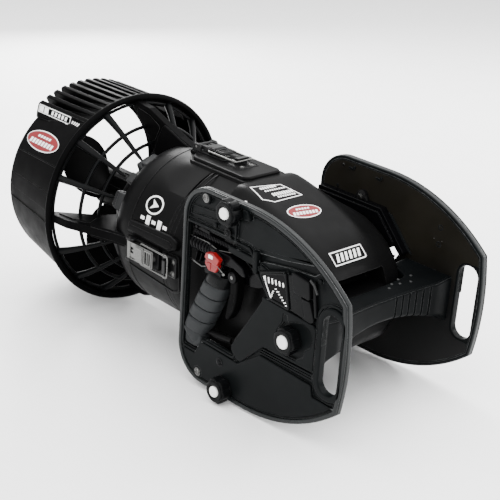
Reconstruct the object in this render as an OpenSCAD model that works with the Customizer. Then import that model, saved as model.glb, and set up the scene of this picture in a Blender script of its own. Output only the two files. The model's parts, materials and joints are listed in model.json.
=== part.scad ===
// Underwater scooter: a ducted propeller behind a sealed two-part hull, with two side plates
// that carry the pistol grips and a cross handle at the nose.
// Millimetres. +X towards the nose, +Y to the rider's left, +Z up.
// The origin lies under the middle of the part, level with the lowest point of the duct.

/* [Overall] */
// Distance from the duct's rear rim to the foremost point of the side plates
overall_length = 755; // [735:1:775]
// Radius of the duct's front lip, which is also the height of the thrust axis
duct_radius = 176; // [170:1:180]

/* [Duct] */
// Radius of the duct's rear rim
duct_rear_radius = 147; // [142:1:155]
// Length of the duct along the thrust axis
duct_length = 157; // [140:1:160]
// Wall thickness of the duct
duct_wall = 7; // [5:0.5:9]
// Number of stiffening ridges on top of the duct
ridge_count = 13; // [5:2:15]
// Radius that the ridge tips reach
ridge_radius = 169; // [160:1:172]
// Thickness of a strut between the duct and the hull
strut_thickness = 12; // [8:1:16]
// Number of spokes in the intake guard between two struts
spokes_per_quarter = 3; // [2:1:4]

/* [Propeller] */
// Number of propeller blades
blade_count = 3; // [2:1:5]
// Radius of the blade tips
blade_radius = 138; // [100:1:140]
// Advance of the propeller in one turn
blade_pitch = 210; // [150:10:260]
// Radius of the propeller shaft
shaft_radius = 6; // [5:0.5:8]

/* [Hull] */
// Radius of the round stretch that carries the latches
hull_radius = 127; // [125:0.5:128]
// Wall thickness of the hull
hull_wall = 5; // [4:0.5:6]
// Number of draw latches around the joint of the two hull parts
latch_count = 4; // [4:1:4]

/* [Side plates] */
// Distance from the middle plane to a plate's outer face
plate_outer = 140; // [138:1:142]
// Thickness of a side plate
plate_thickness = 11; // [10:0.5:12]
// Half height of a side plate
plate_half_height = 145.6; // [144:0.2:147]
// Depth of the sunk areas in a plate's outer face
sunk_depth = 5; // [3:0.5:6]
// Width of the hand slot
slot_width = 32; // [28:1:34]
// Height of the hand slot, round ends included
slot_height = 110; // [100:1:114]

/* [Controls] */
// Angle that a trigger turns when it is squeezed
trigger_travel = 14; // [8:1:14]
// Radius of a clamp knob over its lobes
knob_radius = 19; // [17:0.5:19.5]
// Number of lobes on a clamp knob
knob_lobes = 6; // [5:1:8]

/* [Hidden] */
$fn = 96;

// Colours
plastic = [0.07, 0.07, 0.08];
plastic_light = [0.14, 0.14, 0.15];
rubber = [0.16, 0.17, 0.18];
steel = [0.75, 0.75, 0.74];
catch_red = [0.75, 0.10, 0.10];

// Clearances
running = 0.05;
touch = 0.02;

// Places along the thrust axis, counted from the plates' straight front corner
front_bulge = 7;
duct_rear = front_bulge - overall_length;
duct_front = duct_rear + duct_length;
lip_radius = 5;
hull_joint = -366;
hull_rear = -501;
cylinder_end = -332;
collar_radius = 106;
plate_inner = plate_outer - plate_thickness;
plate_rear = -308;
plate_corner = 50;

// Latch places
pin_x = -429;
pin_radial = 138;
bail_x = -405;
bail_radial = 136.5;
bail_pin_radius = 1.5;
bail_hook_x = -343;
latch_half_width = 18;
lever_half_width = 13.6;
base_top = 133;

// Knob places, as [x, height]
knob_top = [-207, 131];
knob_middle = [-89, -6];
knob_bottom = [-207, -131];
stud_radius = 5;

// Grip and trigger places
grip_top = [-243, 14];
grip_bottom = [-288, -84];
trigger_pivot = [-206, 36];
trigger_pin_radius = 2.5;
catch_pivot = [-238, 48];
catch_pin_radius = 4;
slot_x = -19;

module at_axis() {
    translate([overall_length / 2 - front_bulge, 0, duct_radius]) children();
}

// Turns a [radius, place along the axis] profile about the thrust axis
module turned() {
    rotate([0, 90, 0]) rotate_extrude($fn = 144) children();
}

// A flat [x, radius] outline set upright on the thrust axis, at an angle from +Y
module fin(angle, thickness) {
    rotate([angle, 0, 0]) translate([0, 0, -thickness / 2]) linear_extrude(thickness) children();
}

// A flat [x, height] outline between two distances from the middle plane, on the right-hand side
module slab(inner, outer) {
    translate([0, -inner, 0]) rotate([90, 0, 0]) linear_extrude(outer - inner) children();
}

// A round bar across the part, between two distances from the middle plane, on the right-hand side
module bar(place, inner, outer, radius) {
    translate([place[0], -inner, place[1]]) rotate([90, 0, 0]) cylinder(h = outer - inner, r = radius);
}

module left_side() {
    mirror([0, 1, 0]) children();
}

// ---------- Duct ----------

module duct_profile() {
    inner_front = duct_radius - lip_radius - duct_wall - 1;
    polygon([
        [duct_rear_radius - duct_wall, duct_rear + 2], [duct_rear_radius - duct_wall + 2, duct_rear],
        [duct_rear_radius - 2, duct_rear], [duct_rear_radius, duct_rear + 3],
        [duct_radius - lip_radius - 1, duct_front - lip_radius], [inner_front, duct_front - lip_radius]
    ]);
    translate([duct_radius - lip_radius, duct_front - lip_radius]) circle(r = lip_radius, $fn = 32);
}

module duct_shroud() {
    ridge_step = 5.45;
    first_ridge = 90 - ridge_step * (ridge_count - 1) / 2;
    color(plastic) at_axis() {
        turned() duct_profile();
        for (i = [0 : ridge_count - 1])
            fin(first_ridge + i * ridge_step, 7)
                polygon([
                    [duct_rear + 2, duct_rear_radius - 4], [duct_rear + 2, ridge_radius - 4],
                    [duct_rear + 6, ridge_radius], [duct_front - 9, ridge_radius],
                    [duct_front - 9, duct_radius - lip_radius - 5]
                ]);
    }
}

module strut_outline() {
    polygon([
        [duct_front - lip_radius, 168], [-560, 163], [-520, 147], [-480, 134], [-432, hull_radius - 2],
        [-470, 100], [hull_rear, 80], [-538, 80], [-545, 92], [-562, 112], [-588, 138],
        [duct_front - 24, 161], [duct_front - 24, 164]
    ]);
}

module duct_struts() {
    color(plastic) at_axis() difference() {
        for (i = [0 : 3]) fin(90 * i, strut_thickness) strut_outline();
        turned() duct_profile();
        turned() motor_cover_outline();
        turned() tail_outline();
    }
}

module intake_guard() {
    rim = duct_radius - lip_radius - duct_wall - 4.02;
    spoke_front = -539;
    spoke_tip = 98;
    wire = 2.5;
    step = 90 / (spokes_per_quarter + 1);
    spoke_rear = duct_front - lip_radius - 3;
    color(plastic) at_axis() difference() {
        union() {
            turned() {
                translate([rim, spoke_rear]) circle(r = wire, $fn = 24);
                translate([131, -568]) circle(r = wire, $fn = 24);
                translate([109, -549]) circle(r = wire, $fn = 24);
            }
            for (quarter = [0 : 3], i = [1 : spokes_per_quarter])
                fin(90 * quarter + step * i, 4.5)
                    polygon([
                        [spoke_rear - 3, rim], [spoke_rear + 3, rim], [spoke_front + 2, spoke_tip],
                        [spoke_front - 4, spoke_tip]
                    ]);
        }
        for (i = [0 : 1]) rotate([90 * i, 0, 0])
            translate([-605, -200, -strut_thickness / 2 - touch])
                cube([85, 400, strut_thickness + 2 * touch]);
    }
}

// ---------- Propeller ----------

// One blade section: an ellipse set at the pitch angle and wrapped on a cylinder of radius r
function blade_chord(r) = 96 * sqrt(max(0.12, 1 - pow((r - 88) / 62, 2)));
function section(r) = let (
    pitch = atan(blade_pitch / (2 * PI * r)), chord = blade_chord(r), thick = 9 - 5.5 * r / blade_radius)
    [for (i = [0 : 15]) let (
        along = chord / 2 * cos(22.5 * i), across = thick / 2 * sin(22.5 * i),
        turn = (along * cos(pitch) - across * sin(pitch)) / r * 180 / PI)
        [along * sin(pitch) + across * cos(pitch), r * cos(turn), r * sin(turn)]];

module blade() {
    radii = [for (i = [0 : 8]) 27 + (blade_radius - 27) * i / 8];
    loft([for (r = radii) section(r)]);
}

module propeller_hub() {
    color(plastic) at_axis() turned()
        polygon([
            [shaft_radius + touch, -690], [22, -690], [31, -676], [34, -655], [34, -600], [30, -580],
            [shaft_radius + touch, -578]
        ]);
}

// The blades' roots are moulded into the hub
module propeller_blades() {
    color(plastic) at_axis() for (i = [0 : blade_count - 1])
        rotate([360 / blade_count * i + 20, 0, 0]) translate([-640, 0, 0]) blade();
}

module propeller_shaft() {
    color(steel) at_axis() translate([-704, 0, 0]) rotate([0, 90, 0]) cylinder(h = 192, r = shaft_radius);
}

module propeller_nut() {
    color(plastic_light) at_axis() turned()
        polygon([
            [shaft_radius + touch, -704], [shaft_radius + touch, -690.1], [20, -690.1], [19, -700],
            [12, -710], [0, -714], [0, -704.1], [shaft_radius + touch, -704.1]
        ]);
}

// ---------- Rear hull ----------

module motor_cover_outline() {
    polygon([
        [0, hull_rear], [collar_radius - 3, hull_rear], [collar_radius, hull_rear + 3],
        [collar_radius + 6, hull_rear + 5], [122, -486], [hull_radius, -452],
        [hull_radius, hull_joint], [0, hull_joint]
    ]);
}

module motor_cover_profile() {
    difference() {
        motor_cover_outline();
        polygon([
            [50, hull_rear - 1], [50, -494], [collar_radius - 2, -494], [115, -484],
            [hull_radius - hull_wall, -455], [hull_radius - hull_wall, -382], [112, -380],
            [112, hull_joint + 1], [-1, hull_joint + 1], [-1, hull_rear - 1]
        ]);
        translate([116.5, hull_joint - 5.2]) square([6, 6]);
    }
}

module motor_cover() {
    color(plastic) at_axis() turned() motor_cover_profile();
}

module tail_outline() {
    polygon([
        [0, -568], [40, -568], [58, -563], [74, -550], [84, -528], [90, hull_rear - touch],
        [0, hull_rear - touch]
    ]);
}

module tail_housing() {
    color(plastic) at_axis() turned() difference() {
        tail_outline();
        polygon([
            [22, -563], [40, -563], [54, -558], [69, -546], [78, -527], [83, hull_rear + 1],
            [22, hull_rear + 1]
        ]);
        translate([-1, -569]) square([15 + touch, 80]);
        translate([14, -525]) square([20, 30]);
    }
}

module collar_pads() {
    color(plastic_light) at_axis() for (quarter = [0 : 3], i = [1 : 3])
        fin(90 * quarter + 22.5 * i, 22)
            polygon([
                [-520, 97], [-512, 107], [hull_rear - touch, 103], [hull_rear - touch, 94], [-514, 92]
            ]);
}

module motor() {
    color(steel) at_axis() turned()
        polygon([[0, -478], [46, -478], [46, -388], [26, -386], [26, -378], [0, -378]]);
}

module gearbox() {
    color(steel) at_axis() turned() difference() {
        polygon([
            [0, -522], [34, -522], [49.5, -510], [49.5, -494], [60, -494], [60, -486], [46, -478.1],
            [0, -478.1]
        ]);
        translate([-1, -523]) square([1 + shaft_radius + running, 14]);
    }
}

module shaft_bearings() {
    color(steel) at_axis() turned() for (x = [-536, -556])
        translate([shaft_radius + running, x]) square([14 - shaft_radius - running, 8]);
}

module shaft_seal() {
    color(rubber) at_axis() turned() translate([shaft_radius + running, -565]) square([14 - shaft_radius - running, 7]);
}

module main_o_ring() {
    color(rubber) at_axis() turned() translate([119.5, hull_joint - 2.6]) circle(r = 2.5, $fn = 24);
}

// ---------- Front hull ----------

// Stations of the front hull: [x, half width, top, depth below the axis, squareness]
hull_stations = [
    [hull_joint, hull_radius, hull_radius, hull_radius, 2], [cylinder_end, 126, 126.4, 126.4, 2.05],
    [-308, 113, 125.5, 125.5, 2.2], [-284, 106, 125, 125, 2.5], [-262, 104, 123, 124, 2.8],
    [-224, 103.5, 110.5, 115, 3.5], [-189, 103, 98.5, 105, 3.9], [-161, 101, 87, 96, 3.9],
    [-136, 98, 72, 86, 3.7], [-116, 93, 54, 76, 3.4], [-104, 88, 35, 66, 3], [-98, 76, 17, 54, 2.8]
];
ring_points = 64;

function power(value, exponent) = sign(value) * pow(abs(value), exponent);
function hull_ring(s, inset) = let (
    width = s[1] - inset, half = (s[2] + s[3]) / 2 - inset, mid = (s[2] - s[3]) / 2)
    [for (i = [0 : ring_points - 1]) let (a = 360 * i / ring_points)
        [s[0], width * power(cos(a), 2 / s[4]), mid + half * power(sin(a), 2 / s[4])]];

// Skin over a row of rings that all have the same number of points
module loft(rings) {
    n = len(rings[0]);
    last = len(rings) - 1;
    polyhedron(
        points = [for (ring = rings, p = ring) p],
        faces = concat(
            [for (i = [1 : n - 2]) [0, i, i + 1]],
            [for (i = [1 : n - 2]) [last * n, last * n + i + 1, last * n + i]],
            [for (j = [0 : last - 1], i = [0 : n - 1]) let (k = (i + 1) % n)
                each [[j * n + i, (j + 1) * n + i, (j + 1) * n + k], [j * n + i, (j + 1) * n + k, j * n + k]]]
        )
    );
}

module front_hull_solid() {
    loft([for (s = hull_stations) hull_ring(s, 0)]);
}

module finger_recess(grow) {
    translate([-138 - grow, -54 - grow, 15 - grow]) cube([60, 108 + 2 * grow, 27 + 2 * grow]);
}

module battery_case() {
    count = len(hull_stations);
    inner = [for (i = [0 : count - 2]) hull_ring(hull_stations[i], hull_wall)];
    color(plastic) at_axis() {
        difference() {
            front_hull_solid();
            difference() {
                loft(concat([[for (p = inner[0]) p - [5, 0, 0]]], [for (i = [1 : count - 2]) inner[i]]));
                finger_recess(4);
            }
            finger_recess(0);
        }
        turned() translate([112, hull_joint]) square([12, 14]);
    }
}

module battery(side) {
    color("dimgray") at_axis() translate([-330, side > 0 ? 2 : -62, -38]) cube([140, 60, 76]);
}

module battery_left() battery(1);

module battery_right() battery(-1);

module battery_tray() {
    color(plastic_light) at_axis() {
        translate([-340, -66, -44]) cube([160, 132, 5.9]);
        translate([-340, -66, -44]) cube([8, 132, 50]);
    }
}

module controller_board() {
    color("darkgreen") at_axis() translate([-320, -40, 44]) cube([90, 80, 2]);
    color(plastic_light) at_axis() for (x = [-312, -244], y = [-34, 28]) translate([x, y, 38]) cube([6, 6, 6]);
}

// ---------- Draw latches ----------

module latch_angles() {
    for (i = [0 : latch_count - 1]) rotate([360 / latch_count * i, 0, 0]) children();
}

// A block in latch coordinates: x along the hull, then radial, then across the latch
module block(x, radial, across) {
    translate([x[0], radial[0], across[0]])
        cube([x[1] - x[0], radial[1] - radial[0], across[1] - across[0]]);
}

// A pin across a latch
module cross_pin(x, radial, half_width, radius) {
    translate([x, radial, -half_width]) cylinder(h = 2 * half_width, r = radius, $fn = 32);
}

module latch_bases() {
    color(plastic_light) at_axis() {
        difference() {
            latch_angles() {
                block([-440, -368], [118, base_top], [-latch_half_width, latch_half_width]);
                for (side = [-1, 1]) translate([0, 0, side * (latch_half_width - 2)])
                    block([-437, -421], [130, 142], [-2, 2]);
            }
            translate([-450, 0, 0]) rotate([0, 90, 0]) cylinder(h = 100, r = hull_radius, $fn = 144);
        }
    }
    color(steel) at_axis() latch_angles() cross_pin(pin_x, pin_radial, latch_half_width - 1, 2);
}

module latch_keepers() {
    color(plastic_light) at_axis() difference() {
        latch_angles() {
            block([-363, -334], [118, 130.5], [-16, 16]);
            block([-352, -346.5], [130, 139.5], [-12, 12]);
        }
        translate([-370, 0, 0]) rotate([0, 90, 0]) cylinder(h = 50, r = hull_radius, $fn = 144);
    }
}

module latch_lever(angle) {
    color(steel) at_axis() rotate([angle, 0, 0]) difference() {
        union() {
            cross_pin(pin_x, pin_radial, lever_half_width, 4.4);
            block([pin_x, -374], [135.5, 140.5], [-lever_half_width, lever_half_width]);
            block([bail_x - 3, bail_x + 3], [134, 141.5], [-lever_half_width, lever_half_width]);
        }
        cross_pin(pin_x, pin_radial, latch_half_width, 2 + running);
        cross_pin(bail_x, bail_radial, latch_half_width, bail_pin_radius + running);
    }
}

// A wire frame: two pivots in the lever, two arms beside it and the bar that the keeper holds
module latch_bail(angle) {
    arm = 16;
    wire = 1.6;
    color(steel) at_axis() rotate([angle, 0, 0]) {
        for (side = [0, 1]) mirror([0, 0, side]) {
            translate([bail_x, bail_radial, 8]) cylinder(h = arm - 7.2, r = bail_pin_radius, $fn = 32);
            translate([bail_x - 2.4, bail_radial, arm]) rotate([0, 90, 0])
                cylinder(h = bail_hook_x - bail_x + 3.3, r = wire, $fn = 32);
        }
        cross_pin(bail_hook_x, bail_radial, arm + 1, wire + 0.1);
    }
}

module latch_lever_left() latch_lever(0);

module latch_lever_top() latch_lever(90);

module latch_lever_right() latch_lever(180);

module latch_lever_bottom() latch_lever(270);

module latch_bail_left() latch_bail(0);

module latch_bail_top() latch_bail(90);

module latch_bail_right() latch_bail(180);

module latch_bail_bottom() latch_bail(270);

// ---------- Side plates ----------

// Outline of a plate: long arcs above, below and in front, and round rear corners
module plate_outline(inset = 0) {
    long_arc = 265;
    arc_x = -180;
    front_arc = 405;
    half = plate_half_height - inset;
    corner_z = plate_half_height - plate_corner;
    intersection() {
        translate([arc_x, plate_half_height - long_arc]) circle(r = long_arc - inset, $fn = 360);
        translate([arc_x, long_arc - plate_half_height]) circle(r = long_arc - inset, $fn = 360);
        translate([front_bulge - front_arc, 0]) circle(r = front_arc - inset, $fn = 360);
        translate([arc_x, -200]) square([250, 400]);
    }
    translate([plate_rear + plate_corner, -half])
        square([arc_x - plate_rear - plate_corner + 0.5, 2 * half]);
    translate([plate_rear + inset, -corner_z]) square([plate_corner - inset + 0.5, 2 * corner_z]);
    for (side = [-1, 1]) translate([plate_rear + plate_corner, side * corner_z])
        circle(r = plate_corner - inset);
}

// The opening that the hand reaches through to hold the grip
module grip_window() {
    polygon([
        [-299, 87], [-177, 87], [-131, 38], [-143, 29], [-200, -66], [-190, -77], [-258, -77],
        [-270, -100], [-299, -100]
    ]);
}

module hand_slot() {
    half = (slot_height - slot_width) / 2;
    translate([slot_x - slot_width / 2, -half]) square([slot_width, 2 * half]);
    for (side = [-1, 1]) translate([slot_x, side * half]) circle(r = slot_width / 2);
}

// The sunk web above the controls, and the sunk bay around the middle knob
module sunk_areas() {
    intersection() {
        plate_outline(9);
        polygon([
            [-186, 91], [-172, 91], [-120, 42], [-50, 27], [-44, 62], [40, 62], [40, 200], [-186, 200]
        ]);
    }
    polygon([[-112, 22], [-50, 22], [-44, -32], [-114, -32]]);
}

module side_plate(stud_places) {
    color(plastic) at_axis() difference() {
        slab(plate_inner, plate_outer) difference() {
            plate_outline();
            grip_window();
            hand_slot();
        }
        slab(plate_outer - sunk_depth, plate_outer + 1) sunk_areas();
        for (i = [0 : 2]) slab(plate_outer - 3, plate_outer + 1)
            polygon([
                [-136, -43 - 6 * i], [-45, -41 - 6 * i], [-45, -44 - 6 * i], [-136, -46 - 6 * i]
            ]);
        for (place = stud_places)
            bar(place, plate_inner - 1, plate_outer + 1, stud_radius + 0.4);
        plate_screw_holes();
    }
}

module side_plate_right() side_plate([knob_top, knob_middle, knob_bottom]);

module side_plate_left() {
    color(plastic) left_side() difference() {
        side_plate([knob_middle, knob_bottom]);
        at_axis() for (height = [68, 93]) bar([-75, height], plate_inner - 1, plate_outer + 1, 2.5);
    }
}

post_place = [-219, 96];
rim_screw_place = [-264, 131];

module plate_screw_holes() {
    for (side = [-1, 1]) {
        bar([post_place[0], side * post_place[1]], plate_inner - 1, plate_outer + 1, 3 + touch);
        bar([rim_screw_place[0], side * rim_screw_place[1]], plate_inner - 1, plate_outer + 1, 3 + touch);
    }
}

// Cross-section of a post: a flat bar with rounded ends
module post_outline(up, half_length, radius) {
    translate([post_place[0], up * post_place[1]]) {
        square([2 * (half_length - radius), 2 * radius], center = true);
        for (end = [-1, 1]) translate([end * (half_length - radius), 0]) circle(r = radius);
    }
}

module plate_posts() {
    color(plastic) at_axis() difference() {
        for (side = [0, 1]) mirror([0, side, 0]) for (up = [-1, 1]) difference() {
            union() {
                slab(44, plate_inner - touch) post_outline(up, 24, 10);
                slab(118, plate_inner - touch) post_outline(up, 30, 14);
            }
            bar([post_place[0], up * post_place[1]], 105, plate_inner + 1, 3 + touch);
        }
        front_hull_solid();
    }
}

// A pan-head screw through a plate, its head outside
module plate_screw(place, face, head_radius, tip) {
    bar(place, tip, face + 1, 3);
    bar(place, face + touch, face + 4, head_radius);
}

module screws() {
    color(steel) at_axis() {
        for (side = [0, 1]) mirror([0, side, 0]) {
            for (up = [-1, 1]) {
                plate_screw([post_place[0], up * post_place[1]], plate_outer, 5.5, 108);
                plate_screw([rim_screw_place[0], up * rim_screw_place[1]], plate_outer, 5.5, plate_inner - 3);
            }
        }
        for (x = [-84, -70]) bar([x, 74], plate_outer + touch, plate_outer + 2, 2.2);
    }
}

module knob_inserts() {
    color(steel) at_axis() for (side = [0, 1]) mirror([0, side, 0])
        for (place = side == 0 ? [knob_top, knob_bottom] : [knob_bottom]) difference() {
            bar(place, plate_inner - 8, plate_inner - touch, 9);
            bar(place, plate_inner - 9, plate_inner + 1, stud_radius + running);
        }
}

// ---------- Cross handle ----------

module cross_handle() {
    end_y = plate_inner - touch;
    color(plastic) at_axis() difference() {
        intersection() {
            translate([0, 0, -60]) linear_extrude(120) difference() {
                polygon([
                    [-129, -end_y], [-44, -end_y], [-44, end_y], [-129, end_y], [-129, 100],
                    [-116, 96], [-103, 91], [-93, 80], [-93, -80], [-103, -91], [-116, -96], [-129, -100]
                ]);
                translate([-57 + 375, 0]) circle(r = 375, $fn = 360);
            }
            rotate([90, 0, 90]) translate([0, 0, -140]) linear_extrude(120) difference() {
                polygon([[-end_y, -43], [end_y, -43], [end_y, 30], [-end_y, 30]]);
                translate([0, -11.5 - 385]) circle(r = 385, $fn = 360);
                translate([0, 22 + 900]) circle(r = 900, $fn = 360);
            }
        }
        for (i = [0 : 5]) translate([-62, 26 + 12 * i, -60]) cube([30, 2, 120]);
        for (side = [0, 1]) mirror([0, side, 0])
            bar(knob_middle, plate_inner - 18, plate_inner + 1, stud_radius + running);
    }
}

// ---------- Clamp knobs ----------

module knob(place, base) {
    height = 20;
    color(plastic) at_axis() {
        slab(base, base + height) {
            translate(place) circle(r = knob_radius - 4);
            for (i = [0 : knob_lobes - 1])
                translate(place) rotate(360 / knob_lobes * i) translate([knob_radius - 5, 0]) circle(r = 5, $fn = 32);
        }
        bar(place, base - 20, base + 1, stud_radius);
    }
    color("white") at_axis() bar(place, base + height - 1, base + height + 1.5, 10);
}

knob_base = plate_outer + 0.5;
sunk_knob_base = plate_outer - sunk_depth + 0.5;

module knob_right_top() knob(knob_top, knob_base);

module knob_right_middle() knob(knob_middle, sunk_knob_base);

module knob_right_bottom() knob(knob_bottom, knob_base);

module knob_left_middle() left_side() knob(knob_middle, sunk_knob_base);

module knob_left_bottom() left_side() knob(knob_bottom, knob_base);

// ---------- Grips, triggers and catches ----------

control_inner = 113;
control_outer = 138;

module trigger_housing_right() {
    color(plastic_light) at_axis() difference() {
        slab(control_inner, control_outer) polygon([
            [-299, 87], [-177, 87], [-142.5, 50], [-142, 40], [-170, 30], [-190, 24], [-232, 24],
            [-236, 26], [-262, 22], [-274, 24], [-299, 40]
        ]);
        // Bay that the trigger swings in
        slab(control_inner + 3, control_outer - 3) polygon([
            [-228, 23], [-226, 46], [-206, 48], [-188, 42], [-186, 20]
        ]);
        // Room for the post's foot
        slab(control_inner - 1, plate_inner + touch) post_outline(1, 30 + touch, 14 + touch);
        bar(trigger_pivot, control_inner - 1, control_outer + 1, trigger_pin_radius);
        bar(catch_pivot, control_outer - 14, control_outer + 1, catch_pin_radius + running);
    }
}

module trigger_housing_left() left_side() trigger_housing_right();

module trigger_pins() {
    color(steel) at_axis() for (side = [0, 1]) mirror([0, side, 0])
        bar(trigger_pivot, control_inner, control_outer, trigger_pin_radius - touch);
}

module trigger_springs() {
    color(steel) at_axis() for (side = [0, 1]) mirror([0, side, 0]) difference() {
        bar(trigger_pivot, control_inner + 3.1, control_inner + 5.6, 4.4);
        bar(trigger_pivot, control_inner + 2, control_inner + 7, 3.2);
    }
}

module trigger_right() {
    inner = control_inner + 6;
    outer = control_outer - 3.5;
    color(plastic) at_axis() difference() {
        union() {
            bar(trigger_pivot, inner, outer, 6);
            slab(inner, outer) polygon([
                [-212, 36], [-200, 36], [-199, 6], [-203, -14], [-213, -30], [-219, -29], [-216, -12],
                [-211, 6]
            ]);
        }
        bar(trigger_pivot, inner - 1, outer + 1, trigger_pin_radius - touch + running);
    }
}

module trigger_left() left_side() trigger_right();

module safety_catch_right() {
    color(catch_red) at_axis() {
        slab(control_outer + 0.3, control_outer + 9) translate(catch_pivot)
            polygon([[-17, -6], [-12, 12], [2, 15], [16, 9], [12, -2], [6, -14], [-8, -15]]);
        bar(catch_pivot, control_outer - 13, control_outer + 1, catch_pin_radius);
    }
}

module safety_catch_left() left_side() safety_catch_right();

module grip_right() {
    direction = grip_bottom - grip_top;
    slant = atan2(direction[1], direction[0]);
    long = norm(direction);
    half = 22.5;
    color(rubber) at_axis() slab(109, 140.8) difference() {
        intersection() {
            translate(grip_top) rotate(slant) translate([-12, -half]) square([long + 40, 2 * half]);
            grip_window();
            translate([-320, -110]) square([200, 133.8]);
            polygon([
                [-330, -110], [-180, -110], [-180, 23.8], [-232, 23.8], [-262, 21.8], [-274, 23.8], [-330, 21]
            ]);
        }
        for (i = [0 : 2]) translate(grip_top) rotate(slant) for (side = [-1, 1])
            translate([20 + 26 * i, side * half - 1]) square([2, 2]);
    }
}

module grip_left() left_side() grip_right();

// ---------- Battery gauge ----------

gauge_floor = plate_outer - sunk_depth;

module gauge_outline(inset = 0) {
    polygon([
        [-152 + inset, 66 - inset / 2], [-131 + inset, 34 + inset], [-92 - inset, 32 + inset],
        [-103 - inset, 83 - inset]
    ]);
}

module gauge_housing() {
    color(plastic_light) at_axis() difference() {
        slab(gauge_floor + touch, plate_outer + 2) intersection() {
            gauge_outline();
            sunk_areas();
        }
        slab(plate_outer, plate_outer + 3) gauge_outline(5);
    }
}

module gauge_window() {
    color([0.3, 0.3, 0.33, 0.6]) at_axis() slab(plate_outer + touch, plate_outer + 1.8) gauge_outline(5.1);
}

module gauge_cover() {
    color(plastic) at_axis() slab(gauge_floor + touch, plate_outer) intersection() {
        polygon([[-100, 83.5], [-89.5, 32], [-56, 30], [-66, 86]]);
        sunk_areas();
    }
}

module switch_cover_left() {
    color(plastic_light) at_axis() left_side() slab(gauge_floor + touch, plate_outer + 1) intersection() {
        gauge_outline();
        sunk_areas();
    }
}

duct_shroud();
duct_struts();
intake_guard();
propeller_hub();
propeller_blades();
propeller_shaft();
propeller_nut();
motor_cover();
tail_housing();
collar_pads();
motor();
gearbox();
shaft_bearings();
shaft_seal();
main_o_ring();
battery_case();
battery_left();
battery_right();
battery_tray();
controller_board();
latch_bases();
latch_keepers();
latch_lever_top();
latch_lever_bottom();
latch_lever_left();
latch_lever_right();
latch_bail_top();
latch_bail_bottom();
latch_bail_left();
latch_bail_right();
side_plate_left();
side_plate_right();
plate_posts();
cross_handle();
screws();
knob_inserts();
knob_left_middle();
knob_left_bottom();
knob_right_top();
knob_right_middle();
knob_right_bottom();
trigger_housing_left();
trigger_housing_right();
trigger_pins();
trigger_springs();
trigger_left();
trigger_right();
safety_catch_left();
safety_catch_right();
grip_left();
grip_right();
gauge_housing();
gauge_window();
gauge_cover();
switch_cover_left();
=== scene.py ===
import json
import math

import bmesh
import bpy
from mathutils import Matrix, Vector
from mathutils.bvhtree import BVHTree


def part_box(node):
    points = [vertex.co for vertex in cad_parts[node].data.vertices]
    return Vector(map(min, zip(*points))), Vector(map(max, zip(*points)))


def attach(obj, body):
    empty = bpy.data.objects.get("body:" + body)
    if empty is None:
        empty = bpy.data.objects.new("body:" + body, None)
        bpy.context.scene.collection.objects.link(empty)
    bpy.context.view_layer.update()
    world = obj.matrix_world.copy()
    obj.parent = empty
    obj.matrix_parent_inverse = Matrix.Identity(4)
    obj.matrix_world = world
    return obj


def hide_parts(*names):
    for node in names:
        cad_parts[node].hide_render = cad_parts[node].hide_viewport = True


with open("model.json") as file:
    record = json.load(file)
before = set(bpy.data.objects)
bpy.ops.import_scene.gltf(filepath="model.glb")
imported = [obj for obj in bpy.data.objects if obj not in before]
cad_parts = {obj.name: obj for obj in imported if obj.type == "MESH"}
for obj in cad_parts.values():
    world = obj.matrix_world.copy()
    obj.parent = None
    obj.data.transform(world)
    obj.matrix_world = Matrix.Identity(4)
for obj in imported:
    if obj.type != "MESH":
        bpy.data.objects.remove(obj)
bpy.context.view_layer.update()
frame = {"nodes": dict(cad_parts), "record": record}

# ---------- Frame ----------
# Shapes are drawn in millimetres, as [x, y, height]: x counts from the plates' straight front
# corner and height from the thrust axis. The right-hand side has negative y.
MM = 0.001
PLATE_BULGE = 7
NOSE_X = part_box("side_plate_right")[1].x - PLATE_BULGE * MM
AXIS_Z = (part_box("duct_shroud")[0].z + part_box("duct_shroud")[1].z) / 2
SIDES = {"right": -1, "left": 1}


def at(point):
    """A point in the row frame, in metres."""
    return Vector((NOSE_X + point[0] * MM, point[1] * MM, AXIS_Z + point[2] * MM))


# ---------- Outlines ----------
def rounded(corners, radius=4.0, step=15):
    """An outline with arcs for corners. A corner's third number is a radius of its own."""
    outline = []
    for i, corner in enumerate(corners):
        here = Vector(corner[:2])
        before = Vector(corners[i - 1][:2]) - here
        after = Vector(corners[(i + 1) % len(corners)][:2]) - here
        half = before.angle(after) / 2
        wanted = corner[2] if len(corner) > 2 else radius
        if wanted <= 0 or half > math.radians(88):
            outline.append(tuple(here))
            continue
        reach = min(wanted / math.tan(half), 0.48 * before.length, 0.48 * after.length)
        middle = (before.normalized() + after.normalized()).normalized()
        centre = here + middle * (reach / math.cos(half))
        start = here + before.normalized() * reach - centre
        end = here + after.normalized() * reach - centre
        sweep = math.atan2(start.x * end.y - start.y * end.x, start.dot(end))
        count = max(1, math.ceil(abs(math.degrees(sweep)) / step))
        for k in range(count + 1):
            turn = sweep * k / count
            outline.append((centre.x + start.x * math.cos(turn) - start.y * math.sin(turn),
                            centre.y + start.x * math.sin(turn) + start.y * math.cos(turn)))
    return outline


def grown(outline, amount):
    """An outline moved outwards by amount, or inwards where amount is negative."""
    count = len(outline)
    area = sum(outline[i - 1][0] * outline[i][1] - outline[i][0] * outline[i - 1][1] for i in range(count))
    sign = 1 if area > 0 else -1
    result = []
    for i in range(count):
        here = Vector(outline[i][:2])
        first = (here - Vector(outline[i - 1][:2])).normalized()
        second = (Vector(outline[(i + 1) % count][:2]) - here).normalized()
        out = Vector((first.y + second.y, -first.x - second.x))
        scale = max(out.length_squared / 2, 0.3)
        result.append(tuple(here + out * (sign * amount / scale)))
    return result


def circle(centre, radius, count=48):
    return ellipse(centre, radius, radius, count)


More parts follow.
